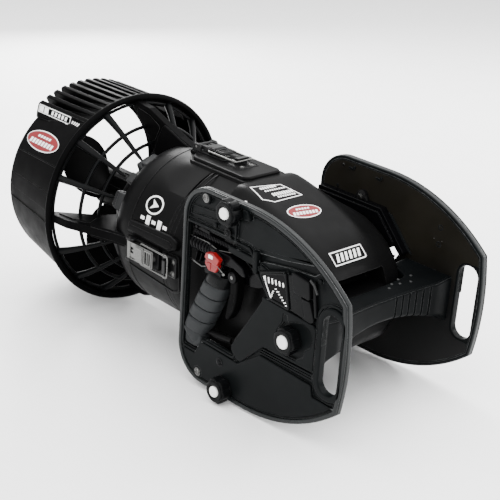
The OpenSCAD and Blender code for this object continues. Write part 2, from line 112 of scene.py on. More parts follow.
def ellipse(centre, half_width, half_height, count=48):
    turns = [2 * math.pi * i / count for i in range(count)]
    return [(centre[0] + half_width * math.cos(t), centre[1] + half_height * math.sin(t)) for t in turns]


def rectangle(low, high, radius=2.0):
    return rounded([low, (high[0], low[1]), high, (low[0], high[1])], radius)


def turned_outline(outline, centre, degrees):
    c, s = math.cos(math.radians(degrees)), math.sin(math.radians(degrees))
    return [(centre[0] + c * x - s * y, centre[1] + s * x + c * y) for x, y in outline]


# ---------- Solid shapes: (points, faces) ----------
def on_axis(x, radius, degrees):
    """A point at a distance from the thrust axis, at an angle from +Y."""
    turn = math.radians(degrees)
    return x, radius * math.cos(turn), radius * math.sin(turn)


def in_scene(name, data):
    obj = bpy.data.objects.new(name, data)
    bpy.context.scene.collection.objects.link(obj)
    return obj


def baked(obj):
    """The mesh of an object with its modifiers or curve settings applied."""
    bpy.context.view_layer.update()
    return bpy.data.meshes.new_from_object(obj.evaluated_get(bpy.context.evaluated_depsgraph_get()))


def merged(*shapes):
    points, faces = [], []
    for shape_points, shape_faces in shapes:
        base = len(points)
        points += shape_points
        faces += [tuple(base + i for i in face) for face in shape_faces]
    return points, faces


def mirrored(shape):
    return [(x, -y, z) for x, y, z in shape[0]], [tuple(reversed(face)) for face in shape[1]]


def sided(shape, side):
    """A shape drawn on the right-hand side, on the side asked for."""
    return shape if SIDES[side] < 0 else mirrored(shape)


def on_side(shapes, side):
    return [sided(shape, side) for shape in shapes]


def around(shape, angle):
    """A shape drawn on the right-hand side (180 degrees from +Y), turned to another angle."""
    c, s = math.cos(math.radians(angle - 180)), math.sin(math.radians(angle - 180))
    return [(x, c * y - s * z, s * y + c * z) for x, y, z in shape[0]], shape[1]


def prism(outline, near, far, bevel=0.8, holes=(), steps=2):
    """An [x, height] outline between two distances from the middle plane, its edges rounded."""
    curve = bpy.data.curves.new("prism", "CURVE")
    curve.dimensions = "2D"
    curve.fill_mode = "BOTH"
    curve.bevel_depth = bevel
    curve.bevel_resolution = steps
    curve.offset = -bevel
    curve.extrude = (far - near) / 2 - bevel
    for loop in (outline, *holes):
        spline = curve.splines.new("POLY")
        spline.points.add(len(loop) - 1)
        for point, place in zip(spline.points, loop):
            point.co = (place[0], place[1], 0, 1)
        spline.use_cyclic_u = True
    holder = in_scene("prism", curve)
    mesh = baked(holder)
    middle = -(near + far) / 2
    points = [(v.co.x, middle - v.co.z, v.co.y) for v in mesh.vertices]
    faces = [tuple(p.vertices) for p in mesh.polygons]
    bpy.data.objects.remove(holder)
    bpy.data.curves.remove(curve)
    bpy.data.meshes.remove(mesh)
    return points, faces


def block(corners, radius, near, far, *edges):
    """A prism whose outline is given by its corners, each rounded."""
    return prism(rounded(corners, radius), near, far, *edges)


def loft(rings, caps=True, closed=False):
    """A skin over rings of equal point count, closed by end caps or into a loop."""
    count = len(rings[0])
    rows = len(rings)
    points = [tuple(p) for ring in rings for p in ring]
    faces = []
    for j in range(rows if closed else rows - 1):
        a, b = j * count, (j + 1) % rows * count
        for i in range(count):
            k = (i + 1) % count
            faces.append((a + i, b + i, b + k, a + k))
    if caps and not closed:
        faces.append(tuple(range(count - 1, -1, -1)))
        faces.append(tuple((rows - 1) * count + i for i in range(count)))
    return points, faces


def revolved(profile, count=144, centre=(0.0, 0.0), first=0.0, last=360.0):
    """A closed [x, radius] profile turned about a line along the thrust axis."""
    whole = last - first >= 360
    steps = count if whole else count + 1
    rings = []
    for i in range(steps):
        t = math.radians(first + (last - first) * i / count)
        rings.append([(x, centre[0] + r * math.cos(t), centre[1] + r * math.sin(t)) for x, r in profile])
    return loft(rings, caps=not whole, closed=whole)


def tube(path, radius, sides=12):
    """A round bar along a path. radius is a number, or a list with one for each point."""
    path = [Vector(p) for p in path]
    radii = radius if isinstance(radius, list) else [radius] * len(path)
    rings = []
    normal = None
    for i, here in enumerate(path):
        along = (path[min(i + 1, len(path) - 1)] - path[max(i - 1, 0)]).normalized()
        if normal is None:
            normal = along.orthogonal().normalized()
        normal = (normal - along * normal.dot(along)).normalized()
        across = along.cross(normal)
        rings.append([here + (normal * c + across * s) * radii[i] for c, s in circle((0, 0), 1, sides)])
    return loft(rings)


def bent(corners, radius, step=15):
    """A path through corners in space, each bend an arc of the radius given."""
    path = [Vector(corners[0])]
    for i in range(1, len(corners) - 1):
        here = Vector(corners[i])
        before = Vector(corners[i - 1]) - here
        after = Vector(corners[i + 1]) - here
        half = before.angle(after) / 2
        reach = min(radius / math.tan(half), 0.49 * before.length, 0.49 * after.length)
        first = here + before.normalized() * reach
        last = here + after.normalized() * reach
        count = max(2, math.ceil((180 - 2 * math.degrees(half)) / step))
        for k in range(count + 1):
            t = k / count
            path.append(first * (1 - t) ** 2 + here * 2 * t * (1 - t) + last * t ** 2)
    path.append(Vector(corners[-1]))
    return path


def lathe(profile, centre, side_y, count=48):
    """A [distance from the middle plane, radius] profile turned about a line along Y, on the right."""
    return loft([[(x, -(side_y + d), z) for x, z in circle(centre, r, count)] for d, r in profile])


# ---------- Pieces ----------
def shade(bm, sharp):
    """Smooth faces, with sharp edges where they meet at more than an angle in degrees."""
    for face in bm.faces:
        face.smooth = True
    for edge in bm.edges:
        edge.smooth = len(edge.link_faces) == 2 and edge.calc_face_angle(0) < math.radians(sharp)


def solid_mesh(name, shapes, sharp=38.0):
    """Shapes joined into one mesh, their doubled points merged, shaded smooth with sharp edges kept."""
    points, faces = merged(*shapes)
    mesh = bpy.data.meshes.new(name)
    mesh.from_pydata([at(p) for p in points], [], faces)
    bm = bmesh.new()
    bm.from_mesh(mesh)
    bmesh.ops.remove_doubles(bm, verts=bm.verts, dist=1e-6)
    bmesh.ops.dissolve_degenerate(bm, edges=bm.edges, dist=1e-7)
    bmesh.ops.recalc_face_normals(bm, faces=bm.faces)
    shade(bm, sharp)
    bm.to_mesh(mesh)
    bm.free()
    return mesh


def placed(name, mesh, body, material):
    """A piece of the object: a mesh with its body and material."""
    obj = in_scene(name, mesh)
    mesh.materials.append(material)
    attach(obj, body)
    return obj


def piece(name, shapes, body, slot, material, sharp=38.0, replaced=()):
    """A piece made of solid shapes, in place of the CAD nodes that it replaces."""
    obj = placed(name, solid_mesh(name, shapes, sharp), body, material)
    obj.modifiers.new("normals", "WEIGHTED_NORMAL").keep_sharp = True
    if replaced:
        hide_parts(*replaced)
    return obj


def cut(obj, shape):
    """Takes a closed shape out of a piece."""
    cutter = in_scene("cutter", solid_mesh("cutter", [shape]))
    knife = obj.modifiers.new("cut", "BOOLEAN")
    knife.object = cutter
    knife.operation = "DIFFERENCE"
    knife.solver = "EXACT"
    knife.use_self = True
    obj.modifiers.move(len(obj.modifiers) - 1, 0)
    obj.modifiers["normals"].show_viewport = False
    result = baked(obj)
    obj.modifiers["normals"].show_viewport = True
    obj.modifiers.remove(knife)
    result.name = obj.data.name
    bm = bmesh.new()
    bm.from_mesh(result)
    shade(bm, 38)
    bm.to_mesh(result)
    bm.free()
    obj.data = result
    bpy.data.objects.remove(cutter)


def stamp(name, target, origin, along, up, outlines, material, lift=0.3):
    """Thin printed shapes on the hull: [along, up] outlines from origin, laid on the surface under them."""
    along = Vector(along).normalized()
    up = (Vector(up) - along * Vector(up).dot(along)).normalized()
    out = along.cross(up)
    bpy.context.view_layer.update()
    tree = BVHTree.FromObject(target, bpy.context.evaluated_depsgraph_get())
    bm = bmesh.new()
    for outline in outlines:
        face = bm.faces.new([bm.verts.new(Vector((u, v, 0))) for u, v in outline])
        bmesh.ops.triangulate(bm, faces=[face])
    for _ in range(4):
        long_edges = [e for e in bm.edges if e.calc_length() > 4]
        if not long_edges:
            break
        bmesh.ops.subdivide_edges(bm, edges=long_edges, cuts=1)
        bmesh.ops.triangulate(bm, faces=bm.faces)
    for vert in bm.verts:
        start = at(Vector(origin) + along * vert.co.x + up * vert.co.y + out * 40)
        hit = tree.ray_cast(start, -out)
        place = hit[0] if hit[0] is not None else start - out * 40 * MM
        vert.co = place + out * (lift * MM)
    top = list(bm.faces)
    shell = bmesh.ops.extrude_face_region(bm, geom=top)
    under = [v for v in shell["geom"] if isinstance(v, bmesh.types.BMVert)]
    bmesh.ops.translate(bm, verts=under, vec=-out * ((lift + 0.4) * MM))
    bmesh.ops.recalc_face_normals(bm, faces=bm.faces)
    mesh = bpy.data.meshes.new(name)
    bm.to_mesh(mesh)
    bm.free()
    placed(name, mesh, "hull", material)


# ---------- Materials ----------
# Heights over which the painted shade lower down gives way to a surface's own colour
LOW_SHADE_HEIGHTS = (AXIS_Z - 20 * MM, AXIS_Z + 60 * MM)


def node(tree, kind, **values):
    made = tree.nodes.new(kind)
    for key, value in values.items():
        if key in made.inputs:
            made.inputs[key].default_value = value
        else:
            setattr(made, key, value)
    return made


def noise(tree, place, scale, detail=3.0):
    made = node(tree, "ShaderNodeTexNoise", Scale=scale, Detail=detail)
    tree.links.new(place, made.inputs["Vector"])
    return made.outputs["Fac"]


def spread(tree, value, low, high, from_low=0.3, from_high=0.7):
    made = node(tree, "ShaderNodeMapRange")
    made.inputs["From Min"].default_value = from_low
    made.inputs["From Max"].default_value = from_high
    made.inputs["To Min"].default_value = low
    made.inputs["To Max"].default_value = high
    tree.links.new(value, made.inputs["Value"])
    return made.outputs["Result"]


def mixed(tree, factor, first, second):
    made = node(tree, "ShaderNodeMix", data_type="RGBA")
    tree.links.new(factor, made.inputs[0])
    for socket, value in ((6, first), (7, second)):
        if isinstance(value, tuple):
            made.inputs[socket].default_value = (*value, 1)
        else:
            tree.links.new(value, made.inputs[socket])
    return made.outputs[2]


def edge_wear_and_highlight(tree, place, width):
    """How worn and lit a point is: 1 on sharp edges, broken up by noise, and 0 elsewhere. The lighter edges
    are a painted highlight as well as edge wear.
    """
    soft = node(tree, "ShaderNodeBevel", samples=4, Radius=width)
    plain = node(tree, "ShaderNodeNewGeometry")
    dot = node(tree, "ShaderNodeVectorMath", operation="DOT_PRODUCT")
    tree.links.new(soft.outputs["Normal"], dot.inputs[0])
    tree.links.new(plain.outputs["Normal"], dot.inputs[1])
    edge = spread(tree, dot.outputs["Value"], 1.0, 0.0, 0.86, 0.995)
    broken = spread(tree, noise(tree, place, 220.0, 4.0), 0.25, 1.0, 0.35, 0.6)
    both = node(tree, "ShaderNodeMath", operation="MULTIPLY")
    tree.links.new(edge, both.inputs[0])
    tree.links.new(broken, both.inputs[1])
    return both.outputs[0]


def surface(name, color, rough, grain=0.12, grain_scale=1500.0, specular=0.5, metal=0.0, wear_highlight_width=None,
            worn_and_lit=None, vary=0.25, brushed=None, low_shade=None):
    """A surface whose colour and gloss vary, with fine grain. It can have lighter edges of a width in
    millimetres and a colour of their own, a painted highlight as well as edge wear; brushed stretches the
    grain, and it can take a darker colour lower down, a painted shade."""
    material = bpy.data.materials.new(name)
    material.use_nodes = True
    tree = material.node_tree
    shader = tree.nodes["Principled BSDF"]
    place = node(tree, "ShaderNodeTexCoord").outputs["Object"]
    cloud = spread(tree, noise(tree, place, 14.0, 5.0), 0.0, 1.0)
    dark = tuple(c * (1 - vary) for c in color)
    light = tuple(min(1.0, c * (1 + vary)) for c in color)
    tint = mixed(tree, cloud, dark, light)
    # Darker towards the bottom, in the given colour: painted shade.
    if low_shade:
        axes = node(tree, "ShaderNodeSeparateXYZ")
        tree.links.new(place, axes.inputs["Vector"])
        tint = mixed(tree, spread(tree, axes.outputs["Z"], 0.0, 1.0, *LOW_SHADE_HEIGHTS), low_shade, tint)
    smudge = spread(tree, noise(tree, place, 45.0, 6.0), rough - 0.06, rough + 0.08)
    # Lighter, broken-up edges in the worn colour: a painted highlight as well as edge wear.
    if wear_highlight_width:
        wear_highlight_mask = edge_wear_and_highlight(tree, place, wear_highlight_width * MM)
        tint = mixed(tree, wear_highlight_mask, tint, worn_and_lit or tuple(min(1.0, c * 5 + 0.03) for c in color))
    tree.links.new(tint, shader.inputs["Base Color"])
    tree.links.new(smudge, shader.inputs["Roughness"])
    shader.inputs["Metallic"].default_value = metal
    shader.inputs["Specular IOR Level"].default_value = specular
    grain_place = place
    if brushed:
        stretch = node(tree, "ShaderNodeMapping")
        stretch.inputs["Scale"].default_value = brushed
        tree.links.new(place, stretch.inputs["Vector"])
        grain_place = stretch.outputs["Vector"]
    bump = node(tree, "ShaderNodeBump", Strength=grain, Distance=0.0002)
    tree.links.new(noise(tree, grain_place, grain_scale, 2.0), bump.inputs["Height"])
    tree.links.new(bump.outputs["Normal"], shader.inputs["Normal"])
    return material


# Materials given a wear width get lighter edges: a painted highlight as well as edge wear.
black_plastic = surface("black_plastic", (0.0024, 0.0026, 0.0028), 0.30, 0.10, specular=0.05, wear_highlight_width=0.5)
hull_plastic = surface("hull_plastic", (0.0025, 0.0025, 0.0026), 0.34, 0.14, 1800.0, specular=0.034,
                       wear_highlight_width=0.5)
plate_plastic = surface("plate_plastic", (0.0030, 0.0036, 0.0038), 0.36, 0.16, 1400.0, specular=0.035,
                        wear_highlight_width=0.6, worn_and_lit=(0.09, 0.092, 0.092))
handle_plastic = surface("handle_plastic", (0.0020, 0.0024, 0.0026), 0.38, 0.16, 1400.0, specular=0.022,
                         wear_highlight_width=0.6, worn_and_lit=(0.07, 0.072, 0.072))
rim_plastic = surface("rim_plastic", (0.0050, 0.0062, 0.0064), 0.30, 0.12, 1400.0, specular=0.16, wear_highlight_width=0.7,
                      worn_and_lit=(0.14, 0.145, 0.145))
# The plates' inner faces: brown, and darker lower down with painted shade.
inner_face_shaded_plastic = surface("inner_face_shaded_plastic", (0.0062, 0.0054, 0.0038), 0.4, 0.16, 1400.0,
                             specular=0.16, low_shade=(0.0026, 0.0027, 0.0028))
gloss_plastic = surface("gloss_plastic", (0.0015, 0.0015, 0.0018), 0.18, 0.04, specular=0.05, wear_highlight_width=0.4)
dark_plastic = surface("dark_plastic", (0.0016, 0.0016, 0.0017), 0.5, 0.12, specular=0.08, wear_highlight_width=0.4)
grey_plastic = surface("grey_plastic", (0.0130, 0.0134, 0.0138), 0.42, 0.12, specular=0.2, wear_highlight_width=0.5)
latch_plastic = surface("latch_plastic", (0.0040, 0.0040, 0.0042), 0.30, 0.10, specular=0.10, wear_highlight_width=0.5)
duct_plastic = surface("duct_plastic", (0.0018, 0.0018, 0.0019), 0.42, 0.10, specular=0.009, wear_highlight_width=0.7,
                       worn_and_lit=(0.05, 0.05, 0.05))
# A near-black sheet without gloss, over the duct's inside: painted shade.
shaded_sheet_plastic = surface("shaded_sheet_plastic", (0.0009, 0.0009, 0.0010), 0.7, 0.10, specular=0.0)
blade_plastic = surface("blade_plastic", (0.0014, 0.0014, 0.0015), 0.48, 0.08, specular=0.02, wear_highlight_width=0.4)
grip_rubber = surface("grip_rubber", (0.0100, 0.0112, 0.0120), 0.6, 0.35, 900.0, specular=0.16, vary=0.18)
seal_rubber = surface("seal_rubber", (0.012, 0.012, 0.012), 0.7, 0.2, 900.0, specular=0.3)
red_plastic = surface("red_plastic", (0.170, 0.0050, 0.0060), 0.34, 0.08, specular=0.3, wear_highlight_width=0.5,
                      worn_and_lit=(0.30, 0.05, 0.05))
red_print = surface("red_print", (0.150, 0.0030, 0.0060), 0.35, 0.05, specular=0.2, vary=0.08)
white_print = surface("white_print", (0.80, 0.80, 0.79), 0.4, 0.05, vary=0.05)
white_plastic = surface("white_plastic", (0.80, 0.80, 0.78), 0.32, 0.06, vary=0.05, wear_highlight_width=0.4,
                        worn_and_lit=(0.9, 0.9, 0.9))
stainless = surface("stainless", (0.105, 0.105, 0.102), 0.28, 0.18, 700.0, metal=1.0, vary=0.12,
                    brushed=(0.08, 1.0, 1.0))
motor_metal = surface("motor_metal", (0.45, 0.45, 0.46), 0.35, 0.15, metal=1.0, vary=0.15)
battery_wrap = surface("battery_wrap", (0.02, 0.05, 0.12), 0.45, 0.1, vary=0.2)
circuit_green = surface("circuit_green", (0.01, 0.09, 0.03), 0.4, 0.3, 500.0, vary=0.3)
clear_window = surface("clear_window", (0.0008, 0.0008, 0.0010), 0.14, 0.02, specular=0.04)

CAD_FINISH = {
    "stainless": stainless, "motor_metal": motor_metal, "gearbox_metal": motor_metal,
    "battery_pack": battery_wrap, "circuit_board": circuit_green, "seal_rubber": seal_rubber,
    "grip_rubber": grip_rubber, "red_plastic": red_plastic, "grey_plastic": grey_plastic,
    "inner_plastic": grey_plastic, "hull_plastic": hull_plastic, "plate_plastic": plate_plastic,
    "handle_plastic": handle_plastic, "housing_plastic": black_plastic, "propeller_plastic": blade_plastic,
    "latch_plastic": latch_plastic, "knob_plastic": black_plastic, "trigger_plastic": black_plastic,
    "clear_window": clear_window,
}


def finish_cad_nodes():
    """Gives every CAD node the material of the slot that the record names for it."""
    slots = {part["node"]: part["material_slot"] for part in frame["record"]["subparts"]}
    for name, obj in frame["nodes"].items():
        obj.data.materials.clear()
        obj.data.materials.append(CAD_FINISH[slots[name]])
        edges = obj.modifiers.new("edges", "BEVEL")
        edges.width = 0.4 * MM
        edges.segments = 2
        edges.limit_method = "ANGLE"
        edges.angle_limit = math.radians(40)
        obj.modifiers.new("normals", "WEIGHTED_NORMAL").keep_sharp = True


finish_cad_nodes()

# What most pieces share: the body they ride on, their slot and their material
HULL = ("hull", "hull_plastic", hull_plastic)
DARK_HULL = ("hull", "hull_plastic", dark_plastic)
DUCT = ("hull", "hull_plastic", duct_plastic)
HOUSING = ("hull", "housing_plastic", black_plastic)
LATCH = ("hull", "latch_plastic", latch_plastic)
STEEL = ("hull", "stainless", stainless)


# ---------- Camera, floor and lights ----------
def make_camera():
    azimuth, elevation, roll = (math.radians(a) for a in (46.16, 22.65, 3.89))
    back = Vector((math.sin(azimuth) * math.cos(elevation), -math.cos(azimuth) * math.cos(elevation),
                   math.sin(elevation)))
    right = Vector((math.cos(azimuth), math.sin(azimuth), 0))
    up = back.cross(right)
    side = right * math.cos(roll) + up * math.sin(roll)
    above = up * math.cos(roll) - right * math.sin(roll)
    camera = in_scene("camera", bpy.data.cameras.new("camera"))
    turn = Matrix((side, above, back)).transposed().to_4x4()
    camera.matrix_world = Matrix.Translation(Vector((1.1593, -1.0627, 0.8207))) @ turn
    camera.data.lens = 80.7
    camera.data.sensor_width = 36
    bpy.context.scene.camera = camera


def make_floor():
    """A pale plane under the duct's lip and the plates, which stand on it."""
    tilt = math.tan(math.radians(3.85))
    touch_x = -0.2205
    half = 6.0
    mesh = bpy.data.meshes.new("floor")
    corners = [(-half, -half), (half, -half), (half, half), (-half, half)]
    mesh.from_pydata([(x, y, (x - touch_x) * tilt - 0.001) for x, y in corners], [], [(0, 1, 2, 3)])
    floor = in_scene("floor", mesh)
    white = surface("floor_white", (0.95, 0.95, 0.95), 0.6, 0.02, 300.0, specular=0.1, vary=0.01)
    mesh.materials.append(white)


def softbox(name, place, size, power, target=(0, 0, 0.18)):
    light = in_scene(name, bpy.data.lights.new(name, "AREA"))
    light.data.shape = "RECTANGLE"
    light.data.size, light.data.size_y = size
    light.data.energy = power
    light.location = place
    light.rotation_euler = (Vector(target) - Vector(place)).to_track_quat("-Z", "Y").to_euler()


def make_lights():
    softbox("overhead", (-0.2, 0.2, 3.2), (6.0, 6.0), 420)
    softbox("front_right", (1.8, -2.4, 1.4), (1.2, 1.6), 40)
    softbox("rear_strip", (-2.2, 1.2, 1.3), (0.5, 2.2), 90)
    softbox("left_strip", (0.8, 2.4, 1.2), (2.2, 0.5), 90)
    world = bpy.data.worlds.new("studio")
    world.use_nodes = True
    sky = world.node_tree.nodes["Background"].inputs
    sky["Color"].default_value = (1, 1, 1, 1)
    sky["Strength"].default_value = 1.5
    bpy.context.scene.world = world


make_camera()
make_floor()
make_lights()


# ---------- Duct ----------
DUCT_REAR = -748
DUCT_FRONT = -591
DUCT_REAR_RADIUS = 147
STRUT_ANGLES = (0, 90, 180, 270)


def duct_outer(x):
    """Radius of the duct's outer wall."""
    return DUCT_REAR_RADIUS + (x - DUCT_REAR) * (170 - DUCT_REAR_RADIUS) / (DUCT_FRONT - 5 - DUCT_REAR)


def duct_panel(first, last, rise):
    """A raised panel on the duct's side, from one angle to another, its rear end rounded off."""
    ends = ((-741, -2), (-741, rise - 0.8), (-739, rise), (-603, rise), (-601, rise - 0.8), (-601, -2))
    return revolved([(x, duct_outer(x) + out) for x, out in ends], 32, first=first, last=last)


def make_duct():
    wall = [(DUCT_REAR + 1.5, 140), (DUCT_REAR, 142), (DUCT_REAR, 145), (DUCT_REAR + 1.2, 146.6),
            *[(x, duct_outer(x)) for x in (DUCT_REAR + 3, -603)], (-600.5, 170.2), (-600, 173)]
    bead = [(-596 + 5 * math.cos(math.radians(t)), 171 + 5 * math.sin(math.radians(t)))
            for t in range(140, -120, -20)]
    inside = [(-600, 164.5), (-601, 162.5), (-640, 156.5), (-700, 147)]
    ridge = rounded([(-744, 145, 0), (-744, 164, 4), (-738.5, 169, 5), (-606, 169, 1.5), (-600, 172.5, 1),
                     (-599, 165, 0)], 3)
    panels = ((128.5, 152.5, 1.6), (153.2, 166.8, 1.0), (167.4, 176.5, 1.4), (183.5, 200, 1.4),
              (200.6, 226, 0.9), (27.5, 51.5, 1.6), (13.2, 26.8, 1.0), (3.5, 12.6, 1.4), (-20, -3.5, 1.4),
              (-46, -20.6, 0.9), (246, 294, 1.2))
    shapes = [revolved(wall + bead + inside, 192)]
    shapes += [ridge_at(ridge, 90 + 5.45 * (i - 6)) for i in range(13)]
    shapes += [duct_panel(*panel) for panel in panels]
    shapes += [ridge_apron(), mirrored(ridge_apron())]
    # A darker sheet without gloss laid over the duct's inner wall: painted shade inside the duct.
    shaded_sheet = [(-744, 141), (-744, 139.9), (-700, 146.5), (-640, 156), (-602, 162), (-602, 163), (-640, 157),
              (-700, 147.6)]
    piece("duct_shaded_sheet", [revolved(shaded_sheet, 192)], "hull", "hull_plastic", shaded_sheet_plastic, 40)
    return piece("duct_shell", shapes, *DUCT, 32, ("duct_shroud",))


def ridge_at(outline, angle, half=3.5):
    """A stiffening ridge: an [x, radius] outline set upright on the axis, with rounded edges."""
    flat = prism(outline, -half, half, 1.3)
    points = [(x, -z, -y) for x, y, z in flat[0]]
    return around((points, [tuple(reversed(f)) for f in flat[1]]), angle)


def ridge_apron():
    """The solid step below the lowest ridge on the right, whose flat side drops to the duct's wall."""
    rings = []
    for angle, radius in ((121.5, 167.5), (123.6, 168.6), (124.6, 167.6), (128.0, 159.6), (130.0, 154.5)):
        profile = [(-743.5, 143), (-743.5, radius - 4), (-740, radius), (-606, radius), (-602, radius - 2),
                   (-602, 160)]
        rings.append([on_axis(x, r, angle) for x, r in profile])
    return loft(rings)


def make_struts():
    outline = rounded([(-597, 166, 0), (-560, 162, 6), (-522, 148, 10), (-484, 135, 8), (-440, 124, 0),
                       (-468, 100, 4), (-500, 84, 0), (-536, 82, 4), (-545, 94, 8), (-563, 114, 10),
                       (-588, 140, 10), (-606, 158, 4), (-606, 161, 0)], 4)
    flare = rounded([(-520, 146, 5), (-478, 132, 3), (-446, 124, 0), (-470, 98, 4), (-500, 82, 0),
                     (-532, 84, 6), (-541, 100, 8), (-532, 124, 8)], 4)
    web = rounded([(-592, 158, 6), (-560, 153, 8), (-530, 140, 6), (-546, 108, 8), (-566, 122, 8),
                   (-590, 146, 6)], 5)
    shapes = [ridge_at(shape, angle, half) for angle in STRUT_ANGLES
              for shape, half in ((outline, 6.5), (flare, 10), (grown(web, -1), 8))]
    piece("duct_strut_set", shapes, *DUCT, 35, ("duct_struts",))


def make_guard():
    """Hoops between the struts, and the tapered spokes that cross them."""
    shapes = []
    for x, r, wire in ((-600, 160, 2.6), (-568, 131, 2.9), (-549, 109, 2.9)):
        for first in STRUT_ANGLES:
            shapes.append(tube([on_axis(x, r, first + 2 + 86 * k / 20) for k in range(21)], wire, 12))
    spoke = ((-602, 163, 6.4), (-585, 149, 5.4), (-566, 130, 4.3), (-549, 109, 3.4), (-540, 99, 2.7),
             (-537, 95, 1.6))
    for first in STRUT_ANGLES:
        for k in (1, 2, 3):
            path = [on_axis(x, r, first + 22.5 * k) for x, r, _ in spoke]
            shapes.append(tube(path, [wire for _, _, wire in spoke], 12))
    piece("guard_wires", shapes, "hull", "hull_plastic", black_plastic, 50, ("intake_guard",))


def make_propeller():
    hub = [(-689.5, 7), (-690, 20), (-687, 24), (-676, 31), (-668, 33), (-655, 34), (-603, 34), (-590, 32),
           (-580, 29), (-578, 24), (-578, 7)]
    rib_outline = rectangle((-664, -2), (-596, 2), 1.5)
    ribs = [around(prism(rib_outline, 30, 35.2, 0.8), angle) for angle in range(0, 360, 30)]
    boss = ("propeller", "propeller_plastic", blade_plastic)
    piece("propeller_boss", [revolved(hub, 96), *ribs], *boss, 40, ("propeller_hub",))
    blades = []
    for i in range(3):
        rings = []
        for j in range(25):
            r = 26 + (137.5 - 26) * j / 24
            chord = 96 * math.sqrt(max(0.10, 1 - ((r - 88) / 62) ** 2))
            if r > 130:
                chord *= math.sqrt(max(0.05, 1 - ((r - 130) / 8) ** 2))
            thick = max(1.2, 9 - 5.5 * r / 138)
            pitch = math.atan(210 / (2 * math.pi * r))
            ring = []
            for k in range(24):
                t = 2 * math.pi * k / 24
                along = chord / 2 * math.cos(t)
                across = thick / 2 * math.sin(t) * (0.65 + 0.35 * math.cos(t))
                turn = (along * math.cos(pitch) - across * math.sin(pitch)) / r
                ring.append((-640 + along * math.sin(pitch) + across * math.cos(pitch), r * math.cos(turn),
                             r * math.sin(turn)))
            rings.append(ring)
        t = math.radians(120 * i + 20)
        points, faces = loft(rings)
        blades.append(([(x, y * math.cos(t) - z * math.sin(t), y * math.sin(t) + z * math.cos(t))
                        for x, y, z in points], faces))
    piece("propeller_blade_set", blades, *boss, 60, ("propeller_blades",))


duct = make_duct()
make_struts()
make_guard()
make_propeller()


# ---------- Side plates ----------
PLATE_INNER = 129
PLATE_OUTER = 140
PLATE_HALF = 145.6
LONG_ARC = 265
LONG_ARC_X = -180
FRONT_ARC = 405
REAR_CORNER = 50
PLATE_REAR = -308
SLOT_X = -19
SLOT_HALF_WIDTH = 16
SLOT_HALF_HEIGHT = 55
WEB = 134.5
KNOBS = {"top": (-207, 131), "middle": (-89, -6), "bottom": (-207, -131)}
OUTER_KNOBS = {"right": ("top", "bottom"), "left": ("bottom",)}
POST_PLACES = ((-219, 96), (-219, -96))
RIM_SCREWS = ((-264, 131), (-264, -131))
WINDOW = [(-299, 87, 3), (-177, 87, 5), (-131, 38, 5), (-143, 29, 4), (-200, -66, 6), (-190, -77, 3),
          (-258, -77, 4), (-270, -100, 4), (-299, -100, 3)]


def plate_outline(inset=0.0):
    """A side plate's outline, counterclockwise from the top of its rear corner."""
    corner_z = PLATE_HALF - REAR_CORNER
    rear = [(PLATE_REAR + REAR_CORNER + (REAR_CORNER - inset) * math.cos(math.radians(t)),
             corner_z + (REAR_CORNER - inset) * math.sin(math.radians(t))) for t in range(90, 181, 6)]
    rear += [(x, -z) for x, z in reversed(rear)]
    arc_z = LONG_ARC - PLATE_HALF
    front_x = PLATE_BULGE - FRONT_ARC

    def under(t):
        return (LONG_ARC_X + (LONG_ARC - inset) * math.cos(t), arc_z + (LONG_ARC - inset) * math.sin(t))

    low, high = math.radians(-90), math.radians(-30)
    for _ in range(40):
        middle = (low + high) / 2
        x, z = under(middle)
        inside = math.hypot(x - front_x, z) < FRONT_ARC - inset
        low, high = (middle, high) if inside else (low, middle)
    start = math.radians(-90)
    lower = [under(start + (low - start) * k / 30) for k in range(31)]
    tip = math.atan2(lower[-1][1], lower[-1][0] - front_x)
    front = [(front_x + (FRONT_ARC - inset) * math.cos(tip * (1 - k / 10)),
              (FRONT_ARC - inset) * math.sin(tip * (1 - k / 10))) for k in range(1, 20)]
    return rear + lower + front + [(x, -z) for x, z in reversed(lower)]


def plate_part(inset, edge, below=True):
    """The part of a plate's outline on one side of an edge, which runs from rear to front."""
    def edge_height(x):
        for (x0, z0), (x1, z1) in zip(edge, edge[1:]):
            if x0 <= x <= x1 and x1 > x0:
                return z0 + (z1 - z0) * (x - x0) / (x1 - x0)
        return None

    outline = plate_outline(inset)
    kept = []
    for x, z in outline:
        height = edge_height(x)
        kept.append(height is not None and (z < height if below else z > height))
    first = next(i for i in range(len(kept)) if kept[i] and not kept[i - 1])
    run = []
    for i in range(len(outline)):
        k = (first + i) % len(outline)
        if not kept[k]:
            break
        run.append(outline[k])
    return run + (list(reversed(edge)) if below else list(edge))


def slot_outline(grow=0.0):
    half = SLOT_HALF_WIDTH + grow
    return rounded([(SLOT_X - half, -SLOT_HALF_HEIGHT - grow), (SLOT_X + half, -SLOT_HALF_HEIGHT - grow),
                    (SLOT_X + half, SLOT_HALF_HEIGHT + grow), (SLOT_X - half, SLOT_HALF_HEIGHT + grow)],
                   half * 0.995, 9)


def slot_ring(grow, inset):
    """The slot's outline, grown but kept inside the plate's front edge."""
    front_x = PLATE_BULGE - FRONT_ARC
    reach = FRONT_ARC - inset
    return [(min(x, front_x + math.sqrt(reach ** 2 - z * z)), z) for x, z in slot_outline(grow)]


def rib(first, last, first_width, last_width, radius, near, far, bevel):
    """A straight, tapered bar that stands on a plate, between two places."""
    a, b = Vector(first), Vector(last)
    beside = Vector((a.y - b.y, b.x - a.x)).normalized()
    corners = [a + beside * first_width / 2, a - beside * first_width / 2, b - beside * last_width / 2,
               b + beside * last_width / 2]
    return block([tuple(corner) for corner in corners], radius, near, far, bevel)


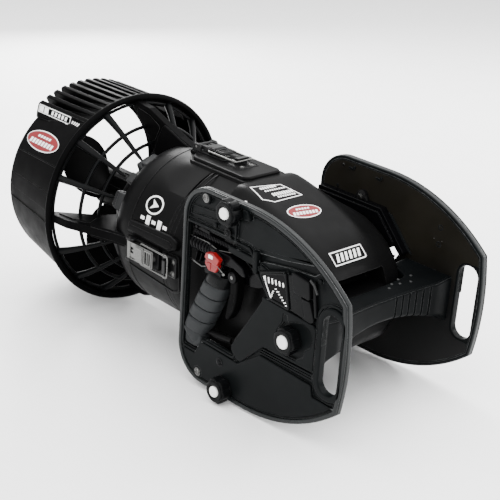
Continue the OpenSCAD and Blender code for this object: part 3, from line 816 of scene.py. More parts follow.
def plate_shapes(side):
    """A side plate: a thin web with a rim, raised panels, ribs and frames round its openings."""
    window = rounded(WINDOW, 4)
    dark_gap = rounded([(-206, 84, 2), (-160, 88, 3), (-108, 95, 3), (-62, 105, 3), (-48, 100, 3),
                        (-60, 91, 3), (-106, 86, 3), (-150, 78, 3), (-158, 74, 2), (-206, 78, 2)], 3)
    lower = [(-301, -105), (-273, -105), (-262, -82), (-184, -83), (-142, -52), (-47, -54), (-44, -69),
             (-1, -69)]
    wing = rounded([(-145, 33, 3), (-51, 29, 3), (-46, 24, 2), (-46, -35, 2), (-136, -37, 4), (-178, -78, 5),
                    (-187, -76, 4), (-199, -63, 5), (-144, 27, 4)], 4)
    recess = rounded([(-104, 25, 1), (-97, 25, 1), (-96, 15, 4), (-88, 19, 4), (-70, 24, 5), (-55, 20, 5),
                      (-50, 8, 6), (-54, -4, 6), (-63, -12, 4), (-64, -22, 4), (-76, -31, 6), (-96, -32, 8),
                      (-112, -20, 8), (-114, -2, 8), (-105, 12, 4)], 5)
    upper = [(-199, 92), (-160, 93), (-108, 100), (-62, 109), (-46, 108)]
    return [
        prism(plate_outline(2), PLATE_INNER, WEB, 0.6, [window, slot_outline(), dark_gap]),
        prism(grown(dark_gap, 2), PLATE_INNER + 0.4, PLATE_INNER + 1.8, 0.3),
        prism(plate_outline(7.4), 134, 138.2, 0.8, [plate_outline(9.4)]),
        prism(plate_outline(5), PLATE_INNER - 0.5, PLATE_INNER + 1, 0.4, [plate_outline(7)]),
        prism(slot_ring(8.5, 0.6), PLATE_INNER + 0.02, PLATE_OUTER, 2.0, [slot_outline(-0.2)], 3),
        prism(slot_ring(13, 1.5), 134, 137.4, 0.8, [slot_ring(10, 5)]),
        prism(grown(window, 3.6), PLATE_INNER - 0.2, 138.2, 0.8, [grown(window, 0.3)]),
        prism(grown(window, 8.5), 134, 136.2, 0.6, [grown(window, 6.6)]),
        # Panels below and behind the slot
        prism(rounded(plate_part(9.6, lower), 2.5, 30), 134, 138.8, 1.2),
        prism(wing, 134, 139.2, 1.2, [recess]),
        prism(grown(recess, 1.5), 133.5, 137.6, 0.6, [grown(recess, -1.2)]),
        *[rib((-139 - 3 * k, -41 - 4.2 * k), (-46, -39 - 4.2 * k), 1.6, 2.6, 0.7, 134, 138.6 - 0.8 * k, 0.6)
          for k in range(3)],
        # Rail above the window, with its upright and the frames that run down to the gauge
        rib((-214, 76), (-160, 74), 9, 11, 1.5, 133, 139.4, 1.2),
        block([(-166, 90), (-158, 91), (-156, 61), (-164, 60)], 2, 133, 141.2, 1.6),
        rib((-155, 61), (-132, 36), 2.2, 2.2, 0.8, 134, 140.6, 0.7),
        rib((-149, 62), (-127, 38), 1.6, 1.6, 0.6, 134, 139.8, 0.5),
        rib((-154, 71), (-140, 68), 7, 6, 1, 134, 138.5, 0.8),
        # Border of the smooth upper web
        prism(rounded(plate_part(12.5, upper, False), 2, 30), 134, 135.6, 0.7),
        rib((-203, 86), (-203, 129), 3, 3, 1, 134, 138.4, 0.9),
        # Ear beside the top knob, and the ribs and hooks of the rear corner
        block([(-190, 140), (-179, 139.5), (-172, 128), (-184, 126)], 2.5, 133, 142.6, 1.4),
        *[rib((-296, 112 - 12 * k), (-240, 117 - 12 * k), 2, 2, 0.8, 134, 136.6, 0.7) for k in range(2)],
        rib((-299, 89), (-212, 91), 3, 3, 1, 134, 138, 0.9),
        *[prism(circle(place, 3.4, 20), 134, 138.6, 0.9) for place in ((-244, 99), (-196, 78), (-48, 90))],
        *[prism(circle(place, 9, 40), 134, PLATE_OUTER - 0.1, 1.2, [circle(place, 6.4, 32)])
          for place in RIM_SCREWS],
        *[prism(circle(KNOBS[place], 13.5, 48), 134, PLATE_OUTER + 0.2, 1.0) for place in OUTER_KNOBS[side]],
        prism(circle(KNOBS["middle"], 13, 48), 133.5, 135.4, 0.6),
        # Thin upright ribs inside the front slot
        *[prism(rectangle((SLOT_X - 17, 8), (SLOT_X - 15.2 + 0.4 * k, 47), 0.6),
                131.2 + 2.2 * k, 131.2 + 2.2 * k + 0.9, 0.3) for k in range(4)],
    ]


def inner_face_shapes():
    """What a plate's inner face carries: hooks, small domes and the ribs along the window's slant."""
    shapes = [rib((-173 + 5 * k, 88 - 2 * k), (-129 + 5 * k, 41 - 2 * k), 1.8, 1.8, 0.7, PLATE_INNER - 2.4,
                  PLATE_INNER + 1, 0.6) for k in range(3)]
    for x, z in ((-252, 130), (-199, 129)):
        hook = [(x, z - 1), (x + 8, z - 3), (x + 12, z + 1), (x + 12, z + 5), (x + 9, z + 5), (x + 8, z + 1),
                (x, z + 2)]
        shapes.append(block(hook, 1, 126.4, 129.6, 0.5))
    return shapes + [prism(circle((-272, 96), 2.6, 20), 127.4, 129.6, 0.8)]


def rim_shapes():
    """A plate's edge: two rolled bands with a groove between them."""
    return [prism(plate_outline(0), PLATE_INNER + 0.01, 136.6, 1.6, [plate_outline(8)], 3),
            prism(plate_outline(0.3), 136.9, PLATE_OUTER, 1.5, [plate_outline(6.2)], 3)]


def hole_rims():
    """Raised rims round two small holes, which only the left plate has."""
    return [prism(circle(place, 4.4, 24), PLATE_INNER - 0.8, PLATE_INNER + 1, 0.5, [circle(place, 2.5, 24)])
            for place in ((-75, 68), (-75, 93))]


def make_plate(side):
    shapes = plate_shapes(side) + inner_face_shapes()
    if side == "left":
        shapes += hole_rims()
    piece("plate_" + side, on_side(shapes, side), "hull", "plate_plastic", plate_plastic, 35,
          ("side_plate_" + side,))
    piece(f"plate_{side}_rim", on_side(rim_shapes(), side), "hull", "plate_plastic", rim_plastic, 35)
    # A sheet on the plate's inner face in the brown colour, darker lower down with painted shade.
    opening = grown(rounded(WINDOW, 4), 4)
    sheet = prism(plate_outline(7.6), PLATE_INNER - 0.4, PLATE_INNER + 0.6, 0.2, [opening])
    shaded_sheet = piece(f"plate_{side}_lining", on_side([sheet], side), "hull", "plate_plastic",
                   inner_face_shaded_plastic, 35)
    around_slot = rounded([(-38.5, -58.5), (20, -58.5), (20, 58.5), (-38.5, 58.5)], 18, 9)
    cut(shaded_sheet, sided(prism(around_slot, PLATE_INNER - 4, PLATE_INNER + 4), side))


for side in SIDES:
    make_plate(side)


# ---------- Hull ----------
HULL_RADIUS = 127
HULL_JOINT = -366
RING_STEPS = 160
# Stations of the front hull: [x, half width, top, depth below the axis, how square it is]
HULL_STATIONS = (
    (HULL_JOINT + 0.6, 127, 127, 127, 0), (-340, 126.6, 126.8, 126.8, 0), (-322, 120, 126.2, 126.2, 0.25),
    (-304, 112, 125.4, 125.4, 0.7), (-284, 106, 124.5, 125, 1), (-262, 104, 120.8, 124, 1),
    (-240, 103.8, 115, 120, 1), (-214, 103.4, 107, 112.5, 1), (-189, 103, 97.5, 105, 1),
    (-161, 101, 86, 96, 1), (-140, 98.5, 74, 88, 1), (-124, 95.5, 61, 80, 1), (-112, 91.5, 48.5, 73, 1),
    (-104, 87.5, 35.5, 65.5, 1), (-99.5, 81, 25, 58, 1), (-98, 75, 18, 52, 1))
TOP_EDGE = 52
# How deep the flat shoulders beside the top latch are cut
SHOULDER = 3.8


def smooth_stations(stations, step=4.0):
    """Stations at close, even places, on a Catmull-Rom curve through the ones given."""
    result = []
    for i in range(len(stations) - 1):
        p0 = stations[max(0, i - 1)]
        p1, p2 = stations[i], stations[i + 1]
        p3 = stations[min(len(stations) - 1, i + 2)]
        count = max(1, round(abs(p2[0] - p1[0]) / step))
        for k in range(count):
            t = k / count
            row = []
            for a, b, c, d in zip(p0, p1, p2, p3):
                row.append(0.5 * (2 * b + (c - a) * t + (2 * a - 5 * b + 4 * c - d) * t * t
                                  + (3 * b - a - 3 * c + d) * t ** 3))
            result.append(row)
    result.append(list(stations[-1]))
    return result


def faceted_ring(x, width, top, depth, square, sharp=70.0):
    """A hull cross-section: round, or flat above with slanted shoulders, or between the two."""
    middle = (top - depth) / 2
    half = (top + depth) / 2
    edge = TOP_EDGE * width / 103
    lean = min(72.0, max(46.0, 46 + 0.27 * (x + 282)))
    drop = (width - edge) / math.tan(math.radians(lean))
    # Flat sides, each with the direction that it faces (degrees from level) and a point on it
    flats = ((90, (0, half)), (lean, (edge, half - 0.4)), (lean / 2, (width - 4, half - 0.86 * drop)),
             (0, (width, 0)), (-45, (0.86 * width, -0.80 * half)), (-90, (0, -half)))
    sides = []
    for turn, through in flats:
        facing = (math.cos(math.radians(turn)), math.sin(math.radians(turn)))
        sides.append((facing, facing[0] * through[0] + facing[1] * through[1]))
    ring = []
    for i in range(RING_STEPS):
        a = 2 * math.pi * i / RING_STEPS
        c, s = math.cos(a), math.sin(a)
        reach = sum(max(0.0, (facing[0] * abs(c) + facing[1] * s) / away) ** sharp for facing, away in sides)
        flat = reach ** (-1 / sharp)
        oval = ((c / width) ** 2 + (s / half) ** 2) ** -0.5
        r = oval + (flat - oval) * min(1, max(0, square))
        ring.append((x, r * c, middle + r * s))
    return ring


def shoulder_cut(ring, reach):
    """Cuts a flat shoulder on each side of the spine, reach millimetres deep."""
    result = []
    for x, y, z in ring:
        r = math.hypot(y, z)
        a = math.degrees(math.atan2(z, abs(y)))
        away = math.radians(a - 58.5)
        if z > 0 and abs(away) < 1:
            r = min(r, (HULL_RADIUS - reach) / math.cos(away))
        b = math.radians(a)
        result.append((x, math.copysign(r * math.cos(b), y), r * math.sin(b)))
    return result


def make_front_hull():
    rings = []
    for station in smooth_stations(HULL_STATIONS):
        ring = faceted_ring(*station)
        rings.append(shoulder_cut(ring, SHOULDER) if station[0] < -300 else ring)
    inset = [[(HULL_JOINT, y * 0.985, z * 0.985) for x, y, z in rings[0]]]
    shell = piece("hull_front", [loft(inset + rings)], *HULL, 13, ("battery_case",))
    hollow = block([(-139, 14, 6), (-90, 14, 0), (-90, 42, 0), (-133, 42, 9)], 6, -54, 54, 3.0, (), 3)
    cut(shell, hollow)
    seams = [revolved([(x, 126.2), (x, 127.4), (x + 1.6, 127.4), (x + 1.6, 126.2)], 160)
             for x in (-361, -352)]
    lip = block([(-140, 12), (-101, 12), (-101, 14.4), (-140, 14.4)], 1, -53, 53, 0.8)
    piece("hull_front_trim", [*seams, lip], *HULL, 35)
    return shell


def make_rear_hull():
    stations = [(-501, 101), (-500, 103), (-498, 105), (-497, 111), (-495, 113.5), (-492, 116.8),
                (-488, 119.8), (-483, 122.2), (-477, 124.2), (-470, 125.6), (-463, 126.5),
                *[(x, HULL_RADIUS) for x in (-455, -446, *range(-436, -371, 8), HULL_JOINT - 1.4)],
                (HULL_JOINT - 0.6, 126.2), (HULL_JOINT - 0.6, 124)]
    rings = []
    for x, r in stations:
        ring = [on_axis(x, r, 360 * i / RING_STEPS) for i in range(RING_STEPS)]
        reach = min(SHOULDER, max(0.0, (x + 428) * 0.11))
        rings.append(shoulder_cut(ring, reach) if reach and x < HULL_JOINT - 1 else ring)
    shell = piece("hull_rear", [loft(rings)], *HULL, 9, ("motor_cover",))
    bands = [revolved([(-493, 110), (-493, 115.2), (-490, 117.6), (-488.6, 117.4), (-488.6, 110)], 160),
             revolved([(-450, 126), (-450, 127.6), (-448.4, 127.6), (-448.4, 126)], 160)]
    tail = revolved([(-568, 12), (-568, 39), (-566, 44), (-560, 60), (-549, 75), (-540, 80), (-527, 84.5),
                     (-514, 88.5), (-503, 91), (-501.2, 91), (-501.2, 12)], 128)
    rings = [revolved([(x, r - 2), (x, r + 1.2), (x + 2, r + 1.6), (x + 2, r - 2)], 128)
             for x, r in ((-532, 83), (-554, 69.5))]
    piece("hull_tail", [tail, *rings], *DARK_HULL, 35, ("tail_housing",))
    piece("hull_rear_bands", bands, *HULL, 35)
    return shell


def wrapped(shape, radius=HULL_RADIUS):
    """A shape drawn flat beside the hull, bent round the hull's cylinder."""
    points = [(x, y * math.cos(z / radius), -y * math.sin(z / radius)) for x, y, z in shape[0]]
    return points, shape[1]


def make_collar_pads():
    shapes = []
    for quarter in STRUT_ANGLES:
        for k, half, rear, reach in ((1, 16, -537, 97), (2, 11, -524, 101), (3, 16, -537, 97)):
            pad = block([(rear, -half + 4), (rear + 16, -half), (-501.4, -half), (-501.4, half),
                         (rear + 16, half), (rear, half - 4)], 4, 70, reach, 2.6, (), 3)
            step = prism(rectangle((-519, -half + 2), (-501.4, half - 2), 3), 90, 106.5, 2.2, (), 3)
            shapes += [around(pad, quarter + 22.5 * k), around(step, quarter + 22.5 * k)]
    piece("tail_pads", shapes, "hull", "grey_plastic", grey_plastic, 40, ("collar_pads",))


def make_spine():
    """The raised block under the top latch, and the brow and border round the right and left ones."""
    foot = rounded([(-432, -26, 10), (-416, -41, 8), (-300, -41, 8), (-288, -36, 6), (-288, 36, 6),
                    (-300, 41, 8), (-416, 41, 8), (-432, 26, 10)], 8)
    deck = rounded([(-428, -22, 10), (-414, -36.5, 8), (-306, -36.5, 8), (-298, -31, 6), (-298, 31, 6),
                    (-306, 36.5, 8), (-414, 36.5, 8), (-428, 22, 10)], 8)
    pocket = rectangle((-443, -20), (-330, 20), 4)
    top = [prism(foot, 112, 124.6, 2.0, (), 3), prism(deck, 116, 129.4, 3.0, (), 4),
           prism(pocket, 118, 130.2, 0.9, [grown(pocket, -1.8)])]
    shapes = [around(shape, 90) for shape in top]
    brow = rounded([(-446, 21, 3), (-346, 21, 5), (-332, 28, 7), (-335, 39, 8), (-352, 43, 6),
                    (-446, 38, 4)], 4)
    ridge = rounded([(-442, 24), (-348, 24), (-340, 29), (-350, 35), (-442, 32)], 3)
    edge = rounded([(-450, 19, 4), (-328, 19, 6), (-328, -38, 10), (-346, -46, 6), (-450, -36, 4)], 4)
    inner = rounded([(-447, 16, 3), (-331.5, 16, 4), (-331.5, -36, 8), (-347, -42.5, 5), (-447, -33, 3)], 4)
    for angle, up in ((0, -1), (180, 1)):
        lines = [[(x, up * z) for x, z in line] for line in (brow, ridge, edge, inner)]
        flat = [prism(lines[0], 118, 134.4, 3.2, (), 4), prism(lines[1], 128, 136.0, 1.4),
                prism(lines[2], 121, 128.4, 0.7, [lines[3]])]
        shapes += [around(wrapped(shape), angle) for shape in flat]
    piece("hull_blocks", shapes, *HULL, 35)


# ---------- Draw latches ----------
PIN_X = -429
PIN_RADIAL = 138
BAIL_X = -405
BAIL_RADIAL = 136.5
HOOK_X = -343
LATCHES = {"left": 0, "top": 90, "right": 180, "bottom": 270}


def across(x, radial, half):
    """The two ends of a pin that lies across a latch."""
    return [(x, -radial, -half), (x, -radial, half)]


def upright(shape, lift, offset):
    """A shape whose outline stands up from the hull, as far from the middle of its latch as offset."""
    return [(x, -(lift + z), offset + y) for x, y, z in shape[0]], shape[1]


def make_latch(name, angle):
    steel = name in ("left", "right")
    metal, slot = (stainless, "stainless") if steel else (latch_plastic, "latch_plastic")
    # Lever: a folded plate with a hooked hole, a raised centre and a barred finger frame
    hole = rounded([(-427, -4), (-419, -4), (-419, -1), (-423.5, -1), (-423.5, 2), (-419, 2), (-419, 5),
                    (-427, 5)], 1.2)
    plate = rectangle((-434, -13.4), (-374, 13.4), 2)
    frame_hole = rectangle((-391, -8.6), (-378.5, 8.6), 1.2)
    finger_hole = rectangle((-390.5, -9), (-378, 9), 1.2)
    shapes = [
        prism(plate, 137.2, 139.4, 0.6, [hole, frame_hole]),
        prism(rectangle((-413, -12.4), (-394, 12.4), 1.6), 138.8, 141.6, 0.8),
        prism(rectangle((-411, -10.4), (-396, 10.4), 1.2), 141.2, 142.2, 0.4),
        prism(rectangle((-393, -12), (-375.6, 12), 2), 138.6, 141.0, 0.7, [finger_hole]),
        prism(rectangle((-387.6, -9.5), (-385.6, 9.5), 0.5), 138, 140.4, 0.5),
        prism(rectangle((-383.4, -9.5), (-381.4, 9.5), 0.5), 138, 140.4, 0.5),
    ]
    flange = block([(-433, 3.2), (-374.5, 1.8), (-374.5, -0.2), (-400, -3.4), (-412, -3.4), (-433, -3)], 1.2,
                   -0.8, 0.8, 0.3)
    shapes += [upright(flange, PIN_RADIAL, edge * 12.7) for edge in (-1, 1)]
    shapes += [tube(across(PIN_X, PIN_RADIAL, 13.2), 3.4, 24), tube(across(-374.8, 138.6, 12.6), 1.3, 16)]
    lever = "latch_lever_" + name
    piece(f"latch_{name}_lever", [around(s, angle) for s in shapes], lever, slot, metal, 40, (lever,))
    # Bail: one bent wire with turned-in ends, which the keeper's hook holds
    half = 16
    corners = ((BAIL_X, -9), (BAIL_X, -half), (HOOK_X, -half), (HOOK_X, half), (BAIL_X, half), (BAIL_X, 9))
    bail = [tube(bent([(x, -BAIL_RADIAL, z) for x, z in corners], 3), 1.6, 14)]
    for edge in (-1, 1):
        sleeve = [(x, -BAIL_RADIAL, edge * half) for x in (-351, -350, -346, -345)]
        bail.append(tube(sleeve, [1.5, 2.5, 2.5, 1.5], 16))
    body = "latch_bail_" + name
    piece(f"latch_{name}_bail", [around(s, angle) for s in bail], body, "stainless", stainless, 60, (body,))


def make_latch_mounts():
    pad = block([(-441, -17), (-368.5, -17), (-368.5, 17), (-441, 17)], 3, 118, 132.6, 1.2)
    ear = block([(-438, 130), (-438, 138), (-434, 142), (-424, 142), (-420, 138), (-420, 130)], 3,
                -1.7, 1.7, 0.6)
    base = block([(-363, -16), (-331, -16), (-331, 16), (-363, 16)], 4, 118, 130.4, 1.4)
    hook = block([(-353, 129), (-353, 137.5), (-350.5, 140.4), (-344, 140.8), (-343, 139.6), (-347, 138.6),
                  (-347, 129)], 1, -10.5, 10.5, 0.6)
    pin = tube(across(PIN_X, PIN_RADIAL, 18.6), 2, 20)
    bases, pins, keepers = [], [], []
    for angle in LATCHES.values():
        bases += [around(s, angle) for s in (pad, upright(ear, 0, -16.1), upright(ear, 0, 16.1))]
        keepers += [around(s, angle) for s in (base, upright(hook, 0, 0))]
        heads = [*pan_head((-414, 0), 132.4, 3.0, 1.4), *pan_head((-380, 0), 132.4, 3.0, 1.4),
                 *pan_head((-338, -9), 130.2, 2.6, 1.3), *pan_head((-338, 9), 130.2, 2.6, 1.3)]
        pins += [around(s, angle) for s in (pin, *heads)]
    piece("latch_base_set", bases, *LATCH, 38, ("latch_bases",))
    piece("latch_keeper_set", keepers, *LATCH, 38, ("latch_keepers",))
    piece("latch_pins", pins, *STEEL, 50)


def make_posts():
    """What holds the plates to the hull: bosses with lugs above, and posts with feet below."""
    x, z = POST_PLACES[0]
    lug = rounded([(x - 9, z + 4), (x + 9, z + 4), (x + 17, z - 12), (x + 15, z - 20), (x - 15, z - 20),
                   (x - 17, z - 12)], 5)
    bar = rounded([(x - 19, 5 - z), (x + 19, 7 - z), (x + 19, -4 - z), (x - 19, -7 - z)], 5)
    foot = rounded([(x - 27, 10 - z), (x + 27, 11 - z), (x + 27, -9 - z), (x - 27, -12 - z)], 7)
    shapes = [prism(lug, 121.6, 129, 2.0, (), 3), prism(bar, 62, 124, 3.0, (), 3),
              prism(foot, 121, 129, 2.5, (), 3)]
    bolts = []
    for place in ((x, -z), (x, z)):
        shapes += [prism(circle(place, 9.5, 40), 121, 129.5, 1.5),
                   prism(circle(place, 7.4, 40), 119.6, 122, 1.0)]
        bolts += [prism(circle(place, 4.2, 6), 118, 120.4, 0.4),
                  prism(circle(place, 5.6, 32), 119.1, 120, 0.2)]
    shapes += on_side(shapes, "left")
    bolts += on_side(bolts, "left")
    piece("post_set", shapes, *DARK_HULL, 40, ("plate_posts",))
    piece("post_bolts", bolts, *STEEL, 30)


front_hull = make_front_hull()
rear_hull = make_rear_hull()
make_collar_pads()
make_spine()
make_posts()


# ---------- Clamp knobs ----------
def lobed(centre, inner, depth, phase, lobes=6, count=120):
    """A circle with lobes that stand out from it by depth."""
    outline = []
    for i in range(count):
        t = 2 * math.pi * i / count
        radius = inner + depth * (0.5 + 0.5 * math.cos(lobes * t + phase)) ** 0.6
        outline.append((centre[0] + radius * math.cos(t), centre[1] + radius * math.sin(t)))
    return outline


def make_knob(side, place):
    centre = KNOBS[place]
    base = 135.5 if place == "middle" else 140.5
    phase = 0.6 if side == "right" else 1.7
    body = [
        prism(lobed(centre, 15.4, 3.5, phase), base, base + 15, 1.6, (), 3),
        prism(circle(centre, 15.6, 64), base + 14, base + 17.6, 1.6, [circle(centre, 9.6, 48)], 3),
        prism(circle(centre, 11.8, 48), base + 13, base + 15.4, 0.3),
        prism(circle(centre, 9.5, 40), 132, base + 1, 0.4),
    ]
    wide = 9.2 if place == "middle" else 8.0
    profile = [(0.0, wide), (2.2, wide), (3.6, wide - 0.7), (4.4, wide - 2.3), (4.7, wide - 5), (4.8, 0.6)]
    cap = [lathe(profile, centre, base + 15, 48)]
    stud = [lathe([(0, 4.4), (base - 118, 4.4), (base - 117, 3.4)], centre, 118, 24)]
    name = f"knob_{side}_{place}"
    piece(name + "_body", on_side(body + stud, side), name, "knob_plastic", black_plastic, 35, (name,))
    piece(name + "_cap", on_side(cap, side), name, "knob_plastic", white_plastic, 50)


def make_inserts():
    """The threaded bosses on the plates' inner faces, which the outer knobs screw into."""
    shapes = []
    for side in SIDES:
        for place in OUTER_KNOBS[side]:
            bore = circle(KNOBS[place], 4.9, 32)
            shapes += [sided(prism(circle(KNOBS[place], 8.9, 6), 121.4, 128.6, 0.8, [bore]), side),
                       sided(prism(circle(KNOBS[place], 7.2, 40), 121.2, 128.7, 0.4, [bore]), side)]
    piece("knob_bosses", shapes, "hull", "stainless", dark_plastic, 35, ("knob_inserts",))


for side in SIDES:
    for place in (*OUTER_KNOBS[side], "middle"):
        make_knob(side, place)
make_inserts()


# ---------- Screws ----------
def pan_head(place, face, radius, height=2.6):
    """A domed screw head on a plate, with a cross recess."""
    profile = [(0, radius), (height * 0.35, radius), (height * 0.75, radius * 0.86), (height, radius * 0.55),
               (height, radius * 0.5), (height - 0.9, radius * 0.42), (height - 0.9, 0.1)]
    washer = prism(circle(place, radius + 1.6, 40), face - 0.6, face + 0.5, 0.25)
    shank = prism(circle(place, radius * 0.5, 20), face - 12, face - 0.4, 0.3)
    half = radius * 0.4
    bar = [(-half, -0.45), (half, -0.45), (half, 0.45), (-half, 0.45)]
    slots = [prism(turned_outline(bar, place, turn), face + height - 1, face + height - 0.2, 0.1)
             for turn in (20, 110)]
    return [lathe(profile, place, face, 32), washer, shank, *slots]


def make_screws():
    rim_screws, post_caps = [], []
    for side in SIDES:
        for place in RIM_SCREWS:
            rim_screws += on_side(pan_head(place, 139, 4.7), side)
        for place in POST_PLACES:
            face = 137.6 if place[1] > 0 else 139
            post_caps += on_side(pan_head(place, face, 4.9, 2.2), side)
        for x in (-84, -70):
            rim_screws += on_side(pan_head((x, 74), 140.4, 1.9, 1.2), side)
    piece("screw_set", rim_screws, *STEEL, 35, ("screws",))
    piece("post_screws", post_caps, *HOUSING, 35)


make_screws()


# ---------- Grips ----------
GRIP_TOP = Vector((-243, 14))
GRIP_BOTTOM = Vector((-288, -84))


def grip_ring(reach, half, depth, lift, tilt, count=40):
    """A rounded cross-section of the grip, reach millimetres down from its top, leaning by tilt."""
    down = (GRIP_BOTTOM - GRIP_TOP).normalized()
    across = Vector((-down.y, down.x))
    ring = []
    for i in range(count):
        t = 2 * math.pi * i / count
        c, s = math.cos(t), math.sin(t)
        u = half * math.copysign(abs(c) ** 0.72, c)
        v = depth * math.copysign(abs(s) ** 0.8, s)
        place = GRIP_TOP + down * (reach + tilt * u / half) + across * u
        ring.append((place.x, -(lift + v), place.y))
    return ring


def grip_segment(first, last):
    """One of the grip's rubber rings, its edges rounded off."""
    rows = []
    for k in range(9):
        t = k / 8
        edge = min(1, math.sin(math.pi * t) * 3.0 + 0.02) ** 0.5
        reach = first + (last - first) * t
        half = (20.2 + 1.3 * math.sin(math.pi * (reach / 100))) - 1.5 * (1 - edge)
        rows.append(grip_ring(reach, half, 14.8 - 1.4 * (1 - edge), 125.4, -7))
    return loft(rows)


def make_grip(side):
    segments = [grip_segment(first, first + 21.6) for first in (4, 27, 50, 73)]
    foot = ((20.0, 13.4), (21.2, 14.8), (20.8, 14.4), (19.0, 12))
    segments.append(loft([grip_ring(94 + 5 * k, *foot[k], 125.2, -7 + 3 * k) for k in range(4)]))
    segments.append(block([(-297.5, -66, 5), (-297.5, -97, 7), (-274, -97, 7), (-262, -86, 6),
                           (-264, -76, 5), (-284, -70, 6)], 5, 117, 136.5, 3.0, (), 3))
    piece(f"grip_{side}_rubber", on_side(segments, side), "hull", "grip_rubber", grip_rubber, 60,
          ("grip_" + side,))
    core = loft([grip_ring(-8 + 14 * k, 18.2, 12.6, 125.2, -7) for k in range(9)])
    collar = loft([grip_ring(reach, half, depth, 125.2, -6) for reach, half, depth
                   in ((-16, 17, 13), (-12, 19.2, 15), (-2, 20.2, 15.4), (2.5, 19.5, 14.4))])
    piece(f"grip_{side}_core", on_side([core, collar], side), *HOUSING, 50)


for side in SIDES:
    make_grip(side)


# ---------- Trigger housings ----------
TRIGGER_PIVOT = (-206, 36)
CATCH_PIVOT = (-238, 48)


def bellows(first_x, last_x, y, z, count, outer, inner):
    """A ribbed sleeve that lies along the part."""
    step = (last_x - first_x) / count
    profile = [(first_x, 2.0)]
    for i in range(count):
        a = first_x + step * i
        profile += [(a, inner), (a + step * 0.2, outer - 0.8), (a + step * 0.4, outer),
                    (a + step * 0.65, outer), (a + step * 0.85, outer - 0.8)]
    profile += [(last_x, inner), (last_x, 2.0)]
    return revolved(profile, 40, (-y, z))


def make_housing(side):
    pivot_bay = rounded([(-227, 22.8), (-225, 45), (-206, 47), (-190, 42), (-187, 22.8)], 3)
    shapes = [
        block([(-297, 86, 2), (-178, 86, 4), (-145, 51, 3), (-144, 43, 2), (-170, 30, 3), (-187, 26, 2),
               (-190, 42, 3), (-206, 47, 3), (-225, 45, 3), (-228, 25, 2), (-262, 22.5, 3), (-274, 25, 2),
               (-297, 42, 2)], 3, 113.5, 122, 0.8),
        block([(-297, 85), (-262, 82), (-262, 76), (-297, 79)], 1.5, 120, 131, 1.0),
        block([(-258, 64, 4), (-214, 64, 5), (-188, 56, 5), (-180, 44, 4), (-189, 44, 2), (-206, 49, 3),
               (-227, 47, 4), (-231, 26, 3), (-262, 26, 4)], 4, 120, 136.6, 1.4),
        block([(-250, 36, 3), (-228, 34, 3), (-228, 24, 3), (-262, 24, 3), (-262, 32, 3)], 3,
              120, 137.4, 1.4),
        prism(circle(CATCH_PIVOT, 13, 48), 130, 137.8, 1.0),
        prism(circle(TRIGGER_PIVOT, 8, 40), 130, 137.6, 1.0),
        prism(grown(pivot_bay, -0.4), 113.6, 116.2, 0.4),
        bellows(-295, -252, 127.5, 58, 7, 11.0, 7.6),
        bellows(-296, -216, 128, 73.5, 14, 5.2, 3.6),
        *[rib((-290 + 9 * k, 29 + 2 * k), (-286 + 9 * k, 45), 1.8, 1.8, 0.7, 120, 131 - k * 0.8, 0.6)
          for k in range(5)],
        block([(-214, 86, 1), (-180, 86, 3), (-150, 55, 2), (-156, 50, 2), (-186, 76, 3), (-214, 77, 1)], 2,
              120, 132, 1.0),
        rib((-198, 70), (-160, 47), 7, 6, 2, 120, 129, 1.2),
        block([(-300, 92), (-175, 92), (-124, 39), (-130, 32), (-181, 80), (-300, 80)], 3, 116, 129.1, 1.0),
        *[prism(circle((x, z), r, 20), 128, 134.5, 0.7)
          for x, z, r in ((-286, 82, 2.6), (-222, 58, 2.4), (-206, 80, 3.0), (-172, 66, 2.6))],
    ]
    piece(f"control_{side}_housing", on_side(shapes, side), "hull", "housing_plastic", gloss_plastic, 35,
          ("trigger_housing_" + side,))
    rod = bent([(-299, -133, 66), (-262, -133.5, 67), (-240, -134, 63), (-214, -133, 68)], 6)
    lever = bent([(-300, -131, 30), (-274, -132, 27), (-258, -133.5, 33)], 5)
    rods = [tube(rod, 0.8, 10), tube(lever, 1.0, 10)]
    piece(f"control_{side}_rods", on_side(rods, side), *STEEL, 50)
    guard = [rib((-203, -60), (-148, 26), 3.6, 3.0, 1.2, 121, 128.6, 1.0),
             tube(bent([(-264, -122, -70), (-240, -123, -69), (-214, -122, -66)], 6), 5.0, 20),
             block([(-262, -68), (-206, -62), (-196, -74), (-206, -84), (-262, -84)], 3, 117, 121, 1.0)]
    piece(f"window_{side}_guard", on_side(guard, side), "hull", "housing_plastic", dark_plastic, 40)


def make_trigger(side):
    blade = rounded([(-213, 40, 5), (-199, 40, 5), (-198, 18, 10), (-199, 2, 12), (-203, -15, 8),
                     (-213, -31, 3), (-219.5, -29, 2.5), (-216, -12, 12), (-211.5, 6, 12)], 6)
    inner = rounded([(-211, 10), (-202, 10), (-203, -2), (-206, -13), (-213, -20), (-215, -12)], 3)
    shapes = [prism(blade, 119.2, 134.2, 2.2, (), 3), prism(inner, 118.6, 134.8, 0.6),
              prism(circle(TRIGGER_PIVOT, 6, 40), 119, 134.5, 0.6)]
    piece(f"trigger_{side}_blade", on_side(shapes, side), "trigger_" + side, "trigger_plastic",
          blade_plastic, 35, ("trigger_" + side,))


